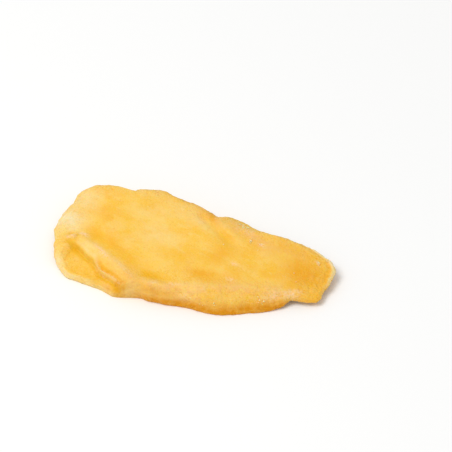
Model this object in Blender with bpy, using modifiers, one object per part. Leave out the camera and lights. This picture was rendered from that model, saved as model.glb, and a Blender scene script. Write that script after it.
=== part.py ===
"""Dried mango slice, one piece of leathery fruit.

The slice is a sheet of flesh about four millimetres thick that curled as it dried. Its front edge and
its rear left rim have rolled down until they carry it. Its front left corner is folded under along a
pleat, and its right tip has stayed thin and a little raised. Seen from above, +X runs to the tip and
+Y to the rear.
"""
import math
from typing import NamedTuple

import bpy
import numpy as np

MM = 0.001

# Name of the piece and of its collection
PIECE_NAME = "mango_slice"
COLLECTION_NAME = "Dried mango slice"

# Plan: the rim stations reach to and past this ellipse
HALF_LENGTH = 60.0 * MM
HALF_DEPTH = 29.5 * MM

# Thickness of the flesh; towards the tip both the body and the rim thin
BODY_THICKNESS = 4.4 * MM
BODY_THICKNESS_AT_TIP = 3.0 * MM
BODY_THINS_OVER = (18.0 * MM, 56.0 * MM)
RIM_THICKNESS = 3.0 * MM
RIM_THICKNESS_AT_TIP = 1.5 * MM
RIM_THINS_FROM = (-50.0, -22.0)
RIM_THINS_TO = (48.0, 80.0)
FLAP_THICKNESS = 3.0 * MM
FLAP_THINS_OVER = 3.5 * MM
FLAP_BEGINS_OVER = 0.15
EDGE_BLUNTNESS = 0.22

# Crown: height of the top skin away from the rims and the pleat
CROWN_HEIGHT = 11.2 * MM
CROWN_REAR_RISE = 0.095
RIGHT_FALL = 5.6 * MM
RIGHT_FALL_START = 4.0 * MM
RIGHT_FALL_RUN = 50.0 * MM
RIGHT_FALL_POWER = 1.6
LEFT_FALL = 2.4 * MM
LEFT_FALL_START = -28.0 * MM
LEFT_FALL_RUN = 30.0 * MM

# Pleat, from its pinch near the left rim to the front edge; shares are of the way along it
PLEAT_START = (-51.4 * MM, -8.2 * MM)
PLEAT_END = (-22.9 * MM, -31.1 * MM)
PLEAT_BOW = -0.15 * MM
PLEAT_BEGINS_OVER = 0.11
PLEAT_STEP_START = 1.2 * MM
PLEAT_STEP_END = 2.0 * MM
PLEAT_STEP_GROWS = (0.05, 0.45)
PLEAT_STEP_HALF_WIDTH = 0.6 * MM
PLEAT_UNDERSIDE_HALF_WIDTH = 3.0 * MM

# Folded corner: at the pinch it rises again to the left rim, and further on it droops to the front rim
CORNER_RISES_OVER = 8.0 * MM
CORNER_STAYS_LOW_FROM = (-0.25, 0.3)
CORNER_DROOP = 0.25
CORNER_DROOPS_FROM = (-0.3, 0.4)

# Slope from the ridge beside the pleat down to its crease
SLOPE_DROP_START = 0.9 * MM
SLOPE_DROP_END = 2.8 * MM
SLOPE_DROP_FULL_AT = 0.8
SLOPE_FOOT = -0.2

# Ridge and the trough behind it, with widths as shares of the slope's width
RIDGE_WIDTH_START = 3.2 * MM
RIDGE_WIDTH_END = 6.6 * MM
RIDGE_HEIGHT = 0.7 * MM
RIDGE_SPREAD = 0.45
TROUGH_DEPTH = 0.6 * MM
TROUGH_PLACE = 2.3
TROUGH_SPREAD = 0.9
RIDGE_BEGINS = (-0.1, 0.1)
RIDGE_ENDS = (0.85, 1.1)

# Low swellings and hollows left by uneven drying
SWELL_HEIGHT = 0.12 * MM
SWELL_LENGTHS = (37.0 * MM, 26.0 * MM, 19.0 * MM)
SWELL_HEADINGS = (20.0, 75.0, 140.0)

# Rim lip: how far in from the edge it stands and how wide it is
LIP_INSET = 1.6 * MM
LIP_WIDTH = 1.3 * MM
LIP_UNDERSIDE_SHARE = 0.6

# Rim waves, as lobes and share of the reach, and notches, as bearing, half width and share of the reach
RIM_WAVES = ((7, 0.003), (11, 0.003), (17, 0.003))
RIM_NOTCHES = (
    (252.0, 4.5, 0.07),
    (328.5, 4.0, 0.036),
    (125.2, 2.6, 0.06),
    (112.0, 4.0, -0.065),
    (84.0, 3.5, 0.045),
    (259.5, 3.5, 0.02),
    (98.5, 3.0, -0.02),
    (223.0, 3.0, -0.016),
    (243.5, 3.5, -0.026),
)

# Rims as they roll down: the inner skin's roll is tighter by a share of the flesh's thickness
INNER_ROLL_TIGHTER = 0.7
INNER_ROLL_LEAST = 0.25

# Puckers that run up the rolled rims, with the lobes and swings that make their spacing and depth uneven
PUCKER_COUNT = 31
PUCKER_DEPTH = 0.25 * MM
PUCKER_SWINGS = ((3.0, 1.7, 0.0), (5.0, 1.1, 1.0))
PUCKER_STRENGTH_LOBES = 4.0
PUCKER_STRENGTH_SWING = (2.0, 2.0)

# Mesh of the sheet: its cells, the bearing that its rows face, and the row that is laid on the crease
CELLS = 48
ROWS_FACE = 218.0
CREASE_ROW = -0.75
CREASE_SEARCH = (-0.88, -0.5)
CREASE_HALVINGS = 24
GATHER = 0.5
GATHER_REACH = 0.22
ROLL_SHARE_PER_WIDTH = 1.25
ROLL_SHARE_LEAST = 0.16
ROLL_SHARE_MOST = 0.52

# Finish
FLESH_COLOUR = (0.965, 0.60, 0.125, 1.0)
FLESH_ROUGHNESS = 0.55


class RimStation(NamedTuple):
    """One bearing on the rim, in degrees from +X round by +Y."""

    bearing: float
    reach: float
    height: float
    roll: float
    turn: float
    lip: float


# Rim: reach on the plan ellipse, height of the edge, width and turn of the roll-down, height of the lip
RIM = (
    RimStation(0, 0.972, 4.4 * MM, 4.5 * MM, 30, 0.8 * MM),
    RimStation(20, 0.97, 4.8 * MM, 6.0 * MM, 30, 0.8 * MM),
    RimStation(40, 0.865, 4.6 * MM, 8.0 * MM, 38, 0.6 * MM),
    RimStation(58, 0.78, 4.2 * MM, 12.0 * MM, 50, 0.5 * MM),
    RimStation(75, 0.832, 3.6 * MM, 12.0 * MM, 62, 0.3 * MM),
    RimStation(90, 0.845, 1.6 * MM, 10.0 * MM, 78, 0.0),
    RimStation(104, 0.975, 1.2 * MM, 9.0 * MM, 88, 0.0),
    RimStation(120, 1.10, -0.3 * MM, 8.5 * MM, 90, 0.0),
    RimStation(137, 1.25, 0.9 * MM, 9.0 * MM, 90, 0.0),
    RimStation(152, 1.118, 1.5 * MM, 8.0 * MM, 85, 0.0),
    RimStation(168, 1.056, 2.0 * MM, 6.5 * MM, 78, 0.2 * MM),
    RimStation(184, 1.03, 2.2 * MM, 6.0 * MM, 76, 0.3 * MM),
    RimStation(202, 1.058, 1.7 * MM, 4.0 * MM, 76, 0.5 * MM),
    RimStation(219, 1.122, 0.4 * MM, 3.0 * MM, 80, 0.4 * MM),
    RimStation(236, 1.065, -0.3 * MM, 3.0 * MM, 86, 0.2 * MM),
    RimStation(250, 1.037, -0.3 * MM, 3.0 * MM, 90, 0.0),
    RimStation(270, 0.922, -0.3 * MM, 6.0 * MM, 90, 0.0),
    RimStation(286, 0.975, -0.3 * MM, 9.5 * MM, 88, 0.0),
    RimStation(303, 0.925, -0.3 * MM, 10.5 * MM, 82, 0.0),
    RimStation(318, 0.907, 1.0 * MM, 8.5 * MM, 64, 0.1 * MM),
    RimStation(326, 0.884, 3.0 * MM, 6.0 * MM, 48, 0.4 * MM),
    RimStation(336, 0.99, 3.2 * MM, 4.8 * MM, 38, 0.3 * MM),
    RimStation(347, 0.942, 3.6 * MM, 4.5 * MM, 32, 0.4 * MM),
)


def smoothstep(low: float, high: float, value: np.ndarray) -> np.ndarray:
    """Rise smoothly from 0 at low to 1 at high."""
    share = np.clip((value - low) / (high - low), 0.0, 1.0)
    return share * share * (3.0 - 2.0 * share)


def between(first: float, last: float, share: np.ndarray) -> np.ndarray:
    """Go from first to last as the share goes from 0 to 1."""
    return first + (last - first) * share


def around_rim(bearing: np.ndarray, values: list) -> np.ndarray:
    """Run a smooth closed curve through one value at each rim station."""
    knots = np.array([station.bearing for station in RIM], float)
    values = np.array(values, float)
    knots = np.concatenate([knots - 360.0, knots, knots + 360.0])
    values = np.concatenate([values, values, values])
    slopes = np.gradient(values, knots)
    here = np.clip(np.searchsorted(knots, bearing, side="right") - 1, 0, len(knots) - 2)
    span = knots[here + 1] - knots[here]
    share = (bearing - knots[here]) / span
    rise = share * share * (3.0 - 2.0 * share)
    leave = share * (1.0 - share) ** 2 * span
    arrive = share * share * (1.0 - share) * span
    return (
        values[here] * (1.0 - rise)
        + values[here + 1] * rise
        + slopes[here] * leave
        - slopes[here + 1] * arrive
    )


def rim_unevenness(bearing: np.ndarray) -> np.ndarray:
    """Share that the waves and the notches add to the rim's reach."""
    total = np.zeros_like(bearing)
    for lobes, share in RIM_WAVES:
        total += share * np.sin(np.radians(lobes * bearing) + lobes)
    for middle, half_width, share in RIM_NOTCHES:
        total -= share * np.exp(-(((bearing - middle) / half_width) ** 2))
    return total


def rim_thickness(bearing: np.ndarray) -> np.ndarray:
    """Thickness of the rim, which thins round the tip."""
    signed = (bearing + 180.0) % 360.0 - 180.0
    at_tip = smoothstep(*RIM_THINS_FROM, signed) * (1.0 - smoothstep(*RIM_THINS_TO, signed))
    return between(RIM_THICKNESS, RIM_THICKNESS_AT_TIP, at_tip)


def puckers(bearing: np.ndarray) -> np.ndarray:
    """Depth of the puckers, from 0 to their full depth, uneven around the rim."""
    turn = np.radians(bearing)
    phase = PUCKER_COUNT * turn
    for lobes, swing, start in PUCKER_SWINGS:
        phase = phase + swing * np.sin(lobes * turn + start)
    lobes, swing = PUCKER_STRENGTH_SWING
    strength = np.sin(PUCKER_STRENGTH_LOBES * turn + swing * np.sin(lobes * turn))
    return PUCKER_DEPTH * (1.0 + strength) / 2.0 * (1.0 + np.sin(phase)) / 2.0


def swell(x: np.ndarray, y: np.ndarray) -> np.ndarray:
    """Height of the low swellings and hollows."""
    total = np.zeros_like(x)
    for length, heading in zip(SWELL_LENGTHS, SWELL_HEADINGS):
        along = x * math.cos(math.radians(heading)) + y * math.sin(math.radians(heading))
        total += np.sin(2.0 * math.pi * along / length + heading)
    return total * SWELL_HEIGHT


def crown(x: np.ndarray, y: np.ndarray) -> np.ndarray:
    """Height of the top skin before the rims roll down and the pleat is made."""
    right = np.clip((x - RIGHT_FALL_START) / RIGHT_FALL_RUN, 0.0, None)
    left = np.clip((LEFT_FALL_START - x) / LEFT_FALL_RUN, 0.0, None)
    height = CROWN_HEIGHT + CROWN_REAR_RISE * y
    return height - RIGHT_FALL * right**RIGHT_FALL_POWER - LEFT_FALL * left**2 + swell(x, y)


def pleat_frame(x: np.ndarray, y: np.ndarray) -> tuple:
    """Share of the way along the pleat, and distance from its crease on the body's side."""
    start = np.array(PLEAT_START)
    run = np.array(PLEAT_END) - start
    length = np.hypot(*run)
    along_x, along_y = run / length
    share = ((x - start[0]) * along_x + (y - start[1]) * along_y) / length
    aside = -(x - start[0]) * along_y + (y - start[1]) * along_x
    bow = PLEAT_BOW * np.sin(math.pi * np.clip(share, 0.0, 1.0))
    return share, aside + bow


def ridge_width(share: np.ndarray) -> np.ndarray:
    """Width of the slope from the ridge's top down to the crease."""
    return between(RIDGE_WIDTH_START, RIDGE_WIDTH_END, np.clip(share, 0.0, 1.0))


def pleat_fall(x: np.ndarray, y: np.ndarray, half_width: float) -> np.ndarray:
    """How far the pleat lowers the top skin; half_width softens the step at the crease."""
    share, aside = pleat_frame(x, y)
    begun = smoothstep(0.0, PLEAT_BEGINS_OVER, share)
    width = ridge_width(share)
    drop = between(SLOPE_DROP_START, SLOPE_DROP_END, smoothstep(0.0, SLOPE_DROP_FULL_AT, share))
    slope = drop * (1.0 - smoothstep(SLOPE_FOOT, 1.0, aside / width))
    step = between(PLEAT_STEP_START, PLEAT_STEP_END, smoothstep(*PLEAT_STEP_GROWS, share))
    step = step * (1.0 - smoothstep(-half_width, half_width, aside))
    risen = smoothstep(0.0, CORNER_RISES_OVER, -aside) * (1.0 - smoothstep(*CORNER_STAYS_LOW_FROM, share))
    droop = CORNER_DROOP * np.clip(-aside, 0.0, None) * smoothstep(*CORNER_DROOPS_FROM, share)
    return begun * (slope + step) * (1.0 - risen) + droop


def ridge_relief(x: np.ndarray, y: np.ndarray) -> np.ndarray:
    """The ridge that stands along the pleat and the shallow trough behind it."""
    share, aside = pleat_frame(x, y)
    begun = smoothstep(*RIDGE_BEGINS, share) * (1.0 - smoothstep(*RIDGE_ENDS, share))
    place = aside / ridge_width(share)
    ridge = RIDGE_HEIGHT * np.exp(-(((place - 1.0) / RIDGE_SPREAD) ** 2))
    trough = TROUGH_DEPTH * np.exp(-(((place - TROUGH_PLACE) / TROUGH_SPREAD) ** 2))
    return begun * (ridge - trough)


def skin_height(x: np.ndarray, y: np.ndarray, outer: bool) -> np.ndarray:
    """Height of the outer or the inner skin before the rims roll down."""
    top = crown(x, y) + ridge_relief(x, y)
    if outer:
        return top - pleat_fall(x, y, PLEAT_STEP_HALF_WIDTH)
    share, aside = pleat_frame(x, y)
    on_flap = smoothstep(0.0, FLAP_BEGINS_OVER, share)
    on_flap = on_flap * (1.0 - smoothstep(-FLAP_THINS_OVER, FLAP_THINS_OVER, aside))
    thickness = between(BODY_THICKNESS, BODY_THICKNESS_AT_TIP, smoothstep(*BODY_THINS_OVER, x))
    thickness = between(thickness, FLAP_THICKNESS, on_flap)
    return crown(x, y) - pleat_fall(x, y, PLEAT_UNDERSIDE_HALF_WIDTH) - thickness


def skin_points(across: np.ndarray, deep: np.ndarray, outer: bool) -> np.ndarray:
    """Points of one skin of the sheet from its place on the unit disc."""
    radius = np.hypot(across, deep)
    angle = np.arctan2(deep, across)
    bearing = np.degrees(angle) % 360.0
    reach = around_rim(bearing, [station.reach for station in RIM]) + rim_unevenness(bearing)
    edge = around_rim(bearing, [station.height for station in RIM])
    roll = around_rim(bearing, [station.roll for station in RIM])
    turn = np.radians(around_rim(bearing, [station.turn for station in RIM]))

    rim_x = HALF_LENGTH * reach * np.cos(angle)
    rim_y = HALF_DEPTH * reach * np.sin(angle)
    rim_reach = np.hypot(rim_x, rim_y)
    share = np.clip(ROLL_SHARE_PER_WIDTH * roll / rim_reach, ROLL_SHARE_LEAST, ROLL_SHARE_MOST)
    end = rim_reach
    if not outer:
        edge = edge - rim_thickness(bearing) * np.cos(turn)
        end = rim_reach - rim_thickness(bearing) * np.sin(turn)
        roll = np.maximum(roll - INNER_ROLL_TIGHTER * BODY_THICKNESS, INNER_ROLL_LEAST * roll)

    flat = np.clip(radius / (1.0 - share), 0.0, 1.0)
    rolled = np.clip((radius - 1.0 + share) / share, 0.0, 1.0) * turn
    out = (end - roll) * flat + roll * np.sin(rolled) / np.sin(turn)
    fallen = (1.0 - np.cos(rolled)) / (1.0 - np.cos(turn))
    pucker = puckers(bearing) * np.sin(math.pi * rolled / turn) ** 2

    x = (out - pucker * np.sin(rolled)) * rim_x / rim_reach
    y = (out - pucker * np.sin(rolled)) * rim_y / rim_reach
    z = edge + (skin_height(x, y, outer) - edge) * (1.0 - fallen)
    lip = around_rim(bearing, [station.lip for station in RIM])
    lip = lip * np.exp(-(((rim_reach - out - LIP_INSET) / LIP_WIDTH) ** 2))
    z = z + lip * (1.0 if outer else LIP_UNDERSIDE_SHARE) - pucker * np.cos(rolled)
    return np.stack([x, y, z], axis=-1)


def sheet_points(across: np.ndarray, deep: np.ndarray, top: np.ndarray) -> np.ndarray:
    """Points of the closed sheet, with its edge rounded off; top is true for the upper skin."""
    outer = skin_points(across, deep, True)
    inner = skin_points(across, deep, False)
    middle = (outer + inner) / 2.0
    radius = np.hypot(across, deep)
    blunt_from = 1.0 - RIM_THICKNESS / HALF_DEPTH / 2.0
    share = np.clip((radius - blunt_from) / (1.0 - blunt_from), 0.0, 1.0)
    round_off = np.sqrt(1.0 - (1.0 - EDGE_BLUNTNESS**2) * share**2)[..., None]
    chosen = np.where(top[..., None], outer, inner)
    points = middle + (chosen - middle) * round_off
    points[..., 2] = np.maximum(points[..., 2], 0.0)
    return points


def on_disc(along: np.ndarray, over: np.ndarray) -> tuple:
    """Map the square plate onto the unit disc, turned to face the folded corner."""
    u = along * np.sqrt(1.0 - over * over / 2.0)
    v = over * np.sqrt(1.0 - along * along / 2.0)
    turn = math.radians(ROWS_FACE - 270.0)
    return u * math.cos(turn) - v * math.sin(turn), u * math.sin(turn) + v * math.cos(turn)


def crease_place(along: np.ndarray) -> np.ndarray:
    """Where on the plate the crease crosses each column, found by halving."""
    low = np.full_like(along, CREASE_SEARCH[0])
    high = np.full_like(along, CREASE_SEARCH[1])
    for _ in range(CREASE_HALVINGS):
        middle = (low + high) / 2.0
        points = skin_points(*on_disc(along, middle), True)
        _, aside = pleat_frame(points[:, 0], points[:, 1])
        low = np.where(aside > 0.0, low, middle)
        high = np.where(aside > 0.0, middle, high)
    return (low + high) / 2.0


def disc_places(along: np.ndarray, row: np.ndarray) -> tuple:
    """Places of the plate's points on the unit disc, with one row moved onto the crease."""
    crease = crease_place(along)
    near = np.exp(-(((row - CREASE_ROW) / GATHER_REACH) ** 2))
    on_body = row + near * (crease - CREASE_ROW - GATHER * (row - CREASE_ROW))
    on_flap = (crease + 1.0) * (row + 1.0) / (CREASE_ROW + 1.0) - 1.0
    return on_disc(along, np.where(row < CREASE_ROW, on_flap, on_body))


def clear_scene() -> None:
    """Remove every object of the scene."""
    for scene_object in list(bpy.data.objects):
        bpy.data.objects.remove(scene_object, do_unlink=True)


def flesh_material() -> bpy.types.Material:
    """Sugary dried flesh, a little matt."""
    material = bpy.data.materials.new("Dried mango flesh")
    material.use_nodes = True
    shader = material.node_tree.nodes["Principled BSDF"]
    shader.inputs["Base Color"].default_value = FLESH_COLOUR
    shader.inputs["Roughness"].default_value = FLESH_ROUGHNESS
    shader.inputs["Metallic"].default_value = 0.0
    return material


def flat_sheet() -> bpy.types.Object:
    """A flat closed plate, two units across and one thick, that the slice is shaped from."""
    bpy.ops.mesh.primitive_grid_add(x_subdivisions=CELLS, y_subdivisions=CELLS, size=2.0)
    plate = bpy.context.object
    thicken = plate.modifiers.new("Thickness", "SOLIDIFY")
    thicken.thickness = 1.0
    thicken.offset = 0.0
    bpy.ops.object.modifier_apply(modifier=thicken.name)
    return plate


def mango_slice() -> bpy.types.Object:
    """Shape the plate into the slice."""
    slice_object = flat_sheet()
    slice_object.name = PIECE_NAME
    mesh = slice_object.data
    mesh.name = PIECE_NAME
    places = np.empty(len(mesh.vertices) * 3)
    mesh.vertices.foreach_get("co", places)
    places = places.reshape(-1, 3)
    across, deep = disc_places(places[:, 0], places[:, 1])
    points = sheet_points(across, deep, places[:, 2] > 0.0)
    middle = (points.min(axis=0) + points.max(axis=0)) / 2.0
    points[:, :2] -= middle[:2]
    mesh.vertices.foreach_set("co", points.ravel())
    mesh.update()
    mesh.shade_smooth()
    mesh.materials.append(flesh_material())
    return slice_object


def main() -> None:
    """Build the slice in a collection of its own."""
    clear_scene()
    collection = bpy.data.collections.new(COLLECTION_NAME)
    bpy.context.scene.collection.children.link(collection)
    slice_object = mango_slice()
    for holder in list(slice_object.users_collection):
        holder.objects.unlink(slice_object)
    collection.objects.link(slice_object)


if __name__ == "__main__":
    main()
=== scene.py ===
"""Look of one dried mango slice.

The slice is a leathery sheet of sugary flesh that curled and pleated as it dried. Its form is worked out
on a finer mesh from the solid part's named sizes, with the tip's edge and the fold's step a little mended,
and takes the wrinkles, the folded lip and the uneven colour that the solid leaves out. Seen from above,
+X runs to the raised tip and +Y to the rear.
"""
import itertools
import logging
import math
from dataclasses import dataclass, field
from enum import Enum

import bmesh
import bpy
import numpy as np
from mathutils import Matrix, Vector


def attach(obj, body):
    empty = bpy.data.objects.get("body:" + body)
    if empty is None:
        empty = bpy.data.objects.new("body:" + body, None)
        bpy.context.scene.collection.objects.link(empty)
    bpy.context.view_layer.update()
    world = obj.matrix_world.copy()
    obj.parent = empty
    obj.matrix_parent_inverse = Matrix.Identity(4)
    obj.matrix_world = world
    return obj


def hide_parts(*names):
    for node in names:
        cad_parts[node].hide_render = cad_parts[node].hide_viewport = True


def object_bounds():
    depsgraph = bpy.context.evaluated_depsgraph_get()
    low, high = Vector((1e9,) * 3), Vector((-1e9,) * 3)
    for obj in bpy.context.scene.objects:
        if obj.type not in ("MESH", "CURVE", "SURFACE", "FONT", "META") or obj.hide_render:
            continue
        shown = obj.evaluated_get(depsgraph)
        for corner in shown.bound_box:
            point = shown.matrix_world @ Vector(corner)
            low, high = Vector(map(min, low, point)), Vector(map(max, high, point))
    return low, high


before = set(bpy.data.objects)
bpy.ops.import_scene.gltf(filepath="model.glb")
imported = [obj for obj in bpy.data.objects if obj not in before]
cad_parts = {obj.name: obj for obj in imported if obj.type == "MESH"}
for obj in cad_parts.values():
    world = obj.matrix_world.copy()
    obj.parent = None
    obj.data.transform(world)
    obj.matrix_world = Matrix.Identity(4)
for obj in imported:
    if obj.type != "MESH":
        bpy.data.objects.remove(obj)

CAD_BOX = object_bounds()
MM = 0.001
LOG = logging.getLogger("dried_mango")

Array = np.ndarray
Span = tuple[float, float]
Socket = bpy.types.NodeSocket

SOLID_NODE = "mango_slice"
BODY = "root"
COARSE_LAYER = "coarse"


class Skin(Enum):
    """The two faces of the sheet of flesh."""

    OUTER = "outer"
    INNER = "inner"


class Tone(Enum):
    """Colours that lie over the flesh, each in its own patches.

    Shade and deep are painted shade. Gold and honey are the flesh's own colour and also painted shade in
    hollows, grooves and the tip's furrow. Bloom is sugar bloom and also a painted highlight at the pinch,
    along the fold's ridge and at a glint. Cream is pale flesh and, on proud places, partly a painted
    highlight.
    """

    CREAM = "cream"
    # Gold is golden flesh, and also painted shade in dents and troughs, in the fold's groove and end, and
    # in the tip's furrow.
    GOLD_AND_SHADE = "gold"
    # Honey is clear flesh, and also painted shade in hollows, in the shoulder's second dent and in the pit
    # under the pinch.
    HONEY_AND_SHADE = "honey"
    SALMON = "salmon"
    SHADE = "shade"
    # Bloom is sugar bloom, and also a painted highlight at the pinch, along the fold's ridge and at a glint
    # near the tip.
    BLOOM = "bloom"
    # Deep is painted shade: the low front band, the rear edge, the valley beside the rear crest and the end
    # of the fold's crease.
    DEEP_SHADE = "deep"


def linear(code: str) -> tuple[float, float, float, float]:
    """Turn an sRGB hex colour into a linear one.

    Args:
        code: The colour, such as "#fccb5c".

    Returns:
        Linear red, green and blue, and an alpha of one.
    """
    parts = [int(code[start : start + 2], 16) / 255.0 for start in (1, 3, 5)]
    bright = [part / 12.92 if part <= 0.04045 else ((part + 0.055) / 1.055) ** 2.4 for part in parts]
    return (bright[0], bright[1], bright[2], 1.0)


def smoothstep(low: float, high: float, value: Array) -> Array:
    """Rise smoothly from 0 where the value is low to 1 where it is high."""
    share = np.clip((value - low) / (high - low), 0.0, 1.0)
    return share * share * (3.0 - 2.0 * share)


def hump(distance: Array, half_width: float) -> Array:
    """Soft hump that is 1 at no distance and has fallen to about a third at the half width."""
    return np.exp(-((distance / half_width) ** 2))


def between(rise: Span, fall: Span, value: Array) -> Array:
    """Rise smoothly from 0 to 1 over one stretch of values, and fall again over another."""
    return smoothstep(*rise, value) * (1.0 - smoothstep(*fall, value))


def blend(first: float, second: float, share: Array) -> Array:
    """Go from the first value to the second as the share goes from 0 to 1."""
    return first + (second - first) * share


def turned(x: Array, y: Array, heading: float) -> tuple[Array, Array]:
    """Distances along a heading, in degrees from +X round by +Y, and to its left."""
    turn = math.radians(heading)
    return x * math.cos(turn) + y * math.sin(turn), y * math.cos(turn) - x * math.sin(turn)


@dataclass(frozen=True)
class Strip:
    """A soft strip that runs beside an edge, with a height in metres or a strength from 0 to 1."""

    aside: float
    half_width: float
    strength: float

    def cover(self, aside: Array) -> Array:
        """Strength of the strip at distances from the edge."""
        return self.strength * hump(aside - self.aside, self.half_width)


@dataclass(frozen=True)
class Swellings:
    """Random swellings that run smoothly through space and come out the same on every run."""

    seed: int
    spacing: float
    stretch: float = 1.0
    heading: float = 0.0
    lattice: int = 24
    tilt: float = 0.4

    def height(self, points: Array) -> Array:
        """Height of the swellings at some points.

        Args:
            points: Points in metres, three numbers each in the last axis.

        Returns:
            Heights from about -1 to 1.
        """
        knots = np.random.default_rng(self.seed).uniform(-1.0, 1.0, (self.lattice,) * 3)
        along, aside = turned(points[..., 0], points[..., 1], self.heading)
        z = points[..., 2]
        tilted = np.stack([along / self.stretch, aside + self.tilt * z, z - self.tilt * aside], -1)
        place = tilted / self.spacing
        whole = np.floor(place).astype(int)
        part = place - whole
        part = part * part * (3.0 - 2.0 * part)
        total = np.zeros(points.shape[:-1])
        for corner in itertools.product((0, 1), repeat=3):
            index = (whole + np.array(corner)) % self.lattice
            weight = np.prod(np.where(np.array(corner) == 1, part, 1.0 - part), axis=-1)
            total += weight * knots[index[..., 0], index[..., 1], index[..., 2]]
        return total


@dataclass(frozen=True)
class RimStation:
    """One bearing on the rim, in degrees from +X round by +Y.

    The reach is a share of the plan ellipse's, the roll is the radius in which the rim bends down, and the
    turn says how steeply it ends, in degrees.
    """

    bearing: float
    reach: float
    height: float
    roll: float
    turn: float
    lip: float


RIM_STATIONS = tuple(
    RimStation(bearing, reach, height * MM, roll * MM, turn, lip * MM)
    for bearing, reach, height, roll, turn, lip in (
        (0, 0.972, 4.4, 4.5, 30, 0.8),
        (20, 0.982, 4.8, 6.0, 30, 0.8),
        (40, 0.865, 4.6, 8.0, 38, 0.6),
        (58, 0.78, 4.2, 12.0, 50, 0.5),
        (75, 0.832, 3.6, 12.0, 62, 0.3),
        (90, 0.845, 1.6, 10.0, 78, 0.0),
        (104, 0.975, 1.2, 9.0, 88, 0.0),
        (120, 1.10, -0.3, 8.5, 90, 0.0),
        (137, 1.25, 0.9, 9.0, 90, 0.0),
        (152, 1.118, 1.5, 8.0, 85, 0.0),
        (168, 1.056, 2.0, 6.5, 78, 0.2),
        (184, 1.03, 2.2, 6.0, 76, 0.3),
        (202, 1.058, 1.7, 4.0, 76, 0.5),
        (219, 1.122, 0.4, 3.0, 80, 0.4),
        (236, 1.065, -0.3, 3.0, 86, 0.2),
        (250, 1.037, -0.3, 3.0, 90, 0.0),
        (270, 0.922, -0.3, 6.0, 90, 0.0),
        (286, 0.975, -0.3, 9.5, 88, 0.0),
        (303, 0.925, -0.3, 10.5, 82, 0.0),
        (318, 0.91, 1.0, 8.5, 64, 0.1),
        (326, 0.912, 3.0, 6.0, 48, 0.4),
        (336, 1.006, 3.2, 4.8, 38, 0.3),
        (347, 0.962, 3.6, 4.5, 32, 0.4),
    )
)


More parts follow.
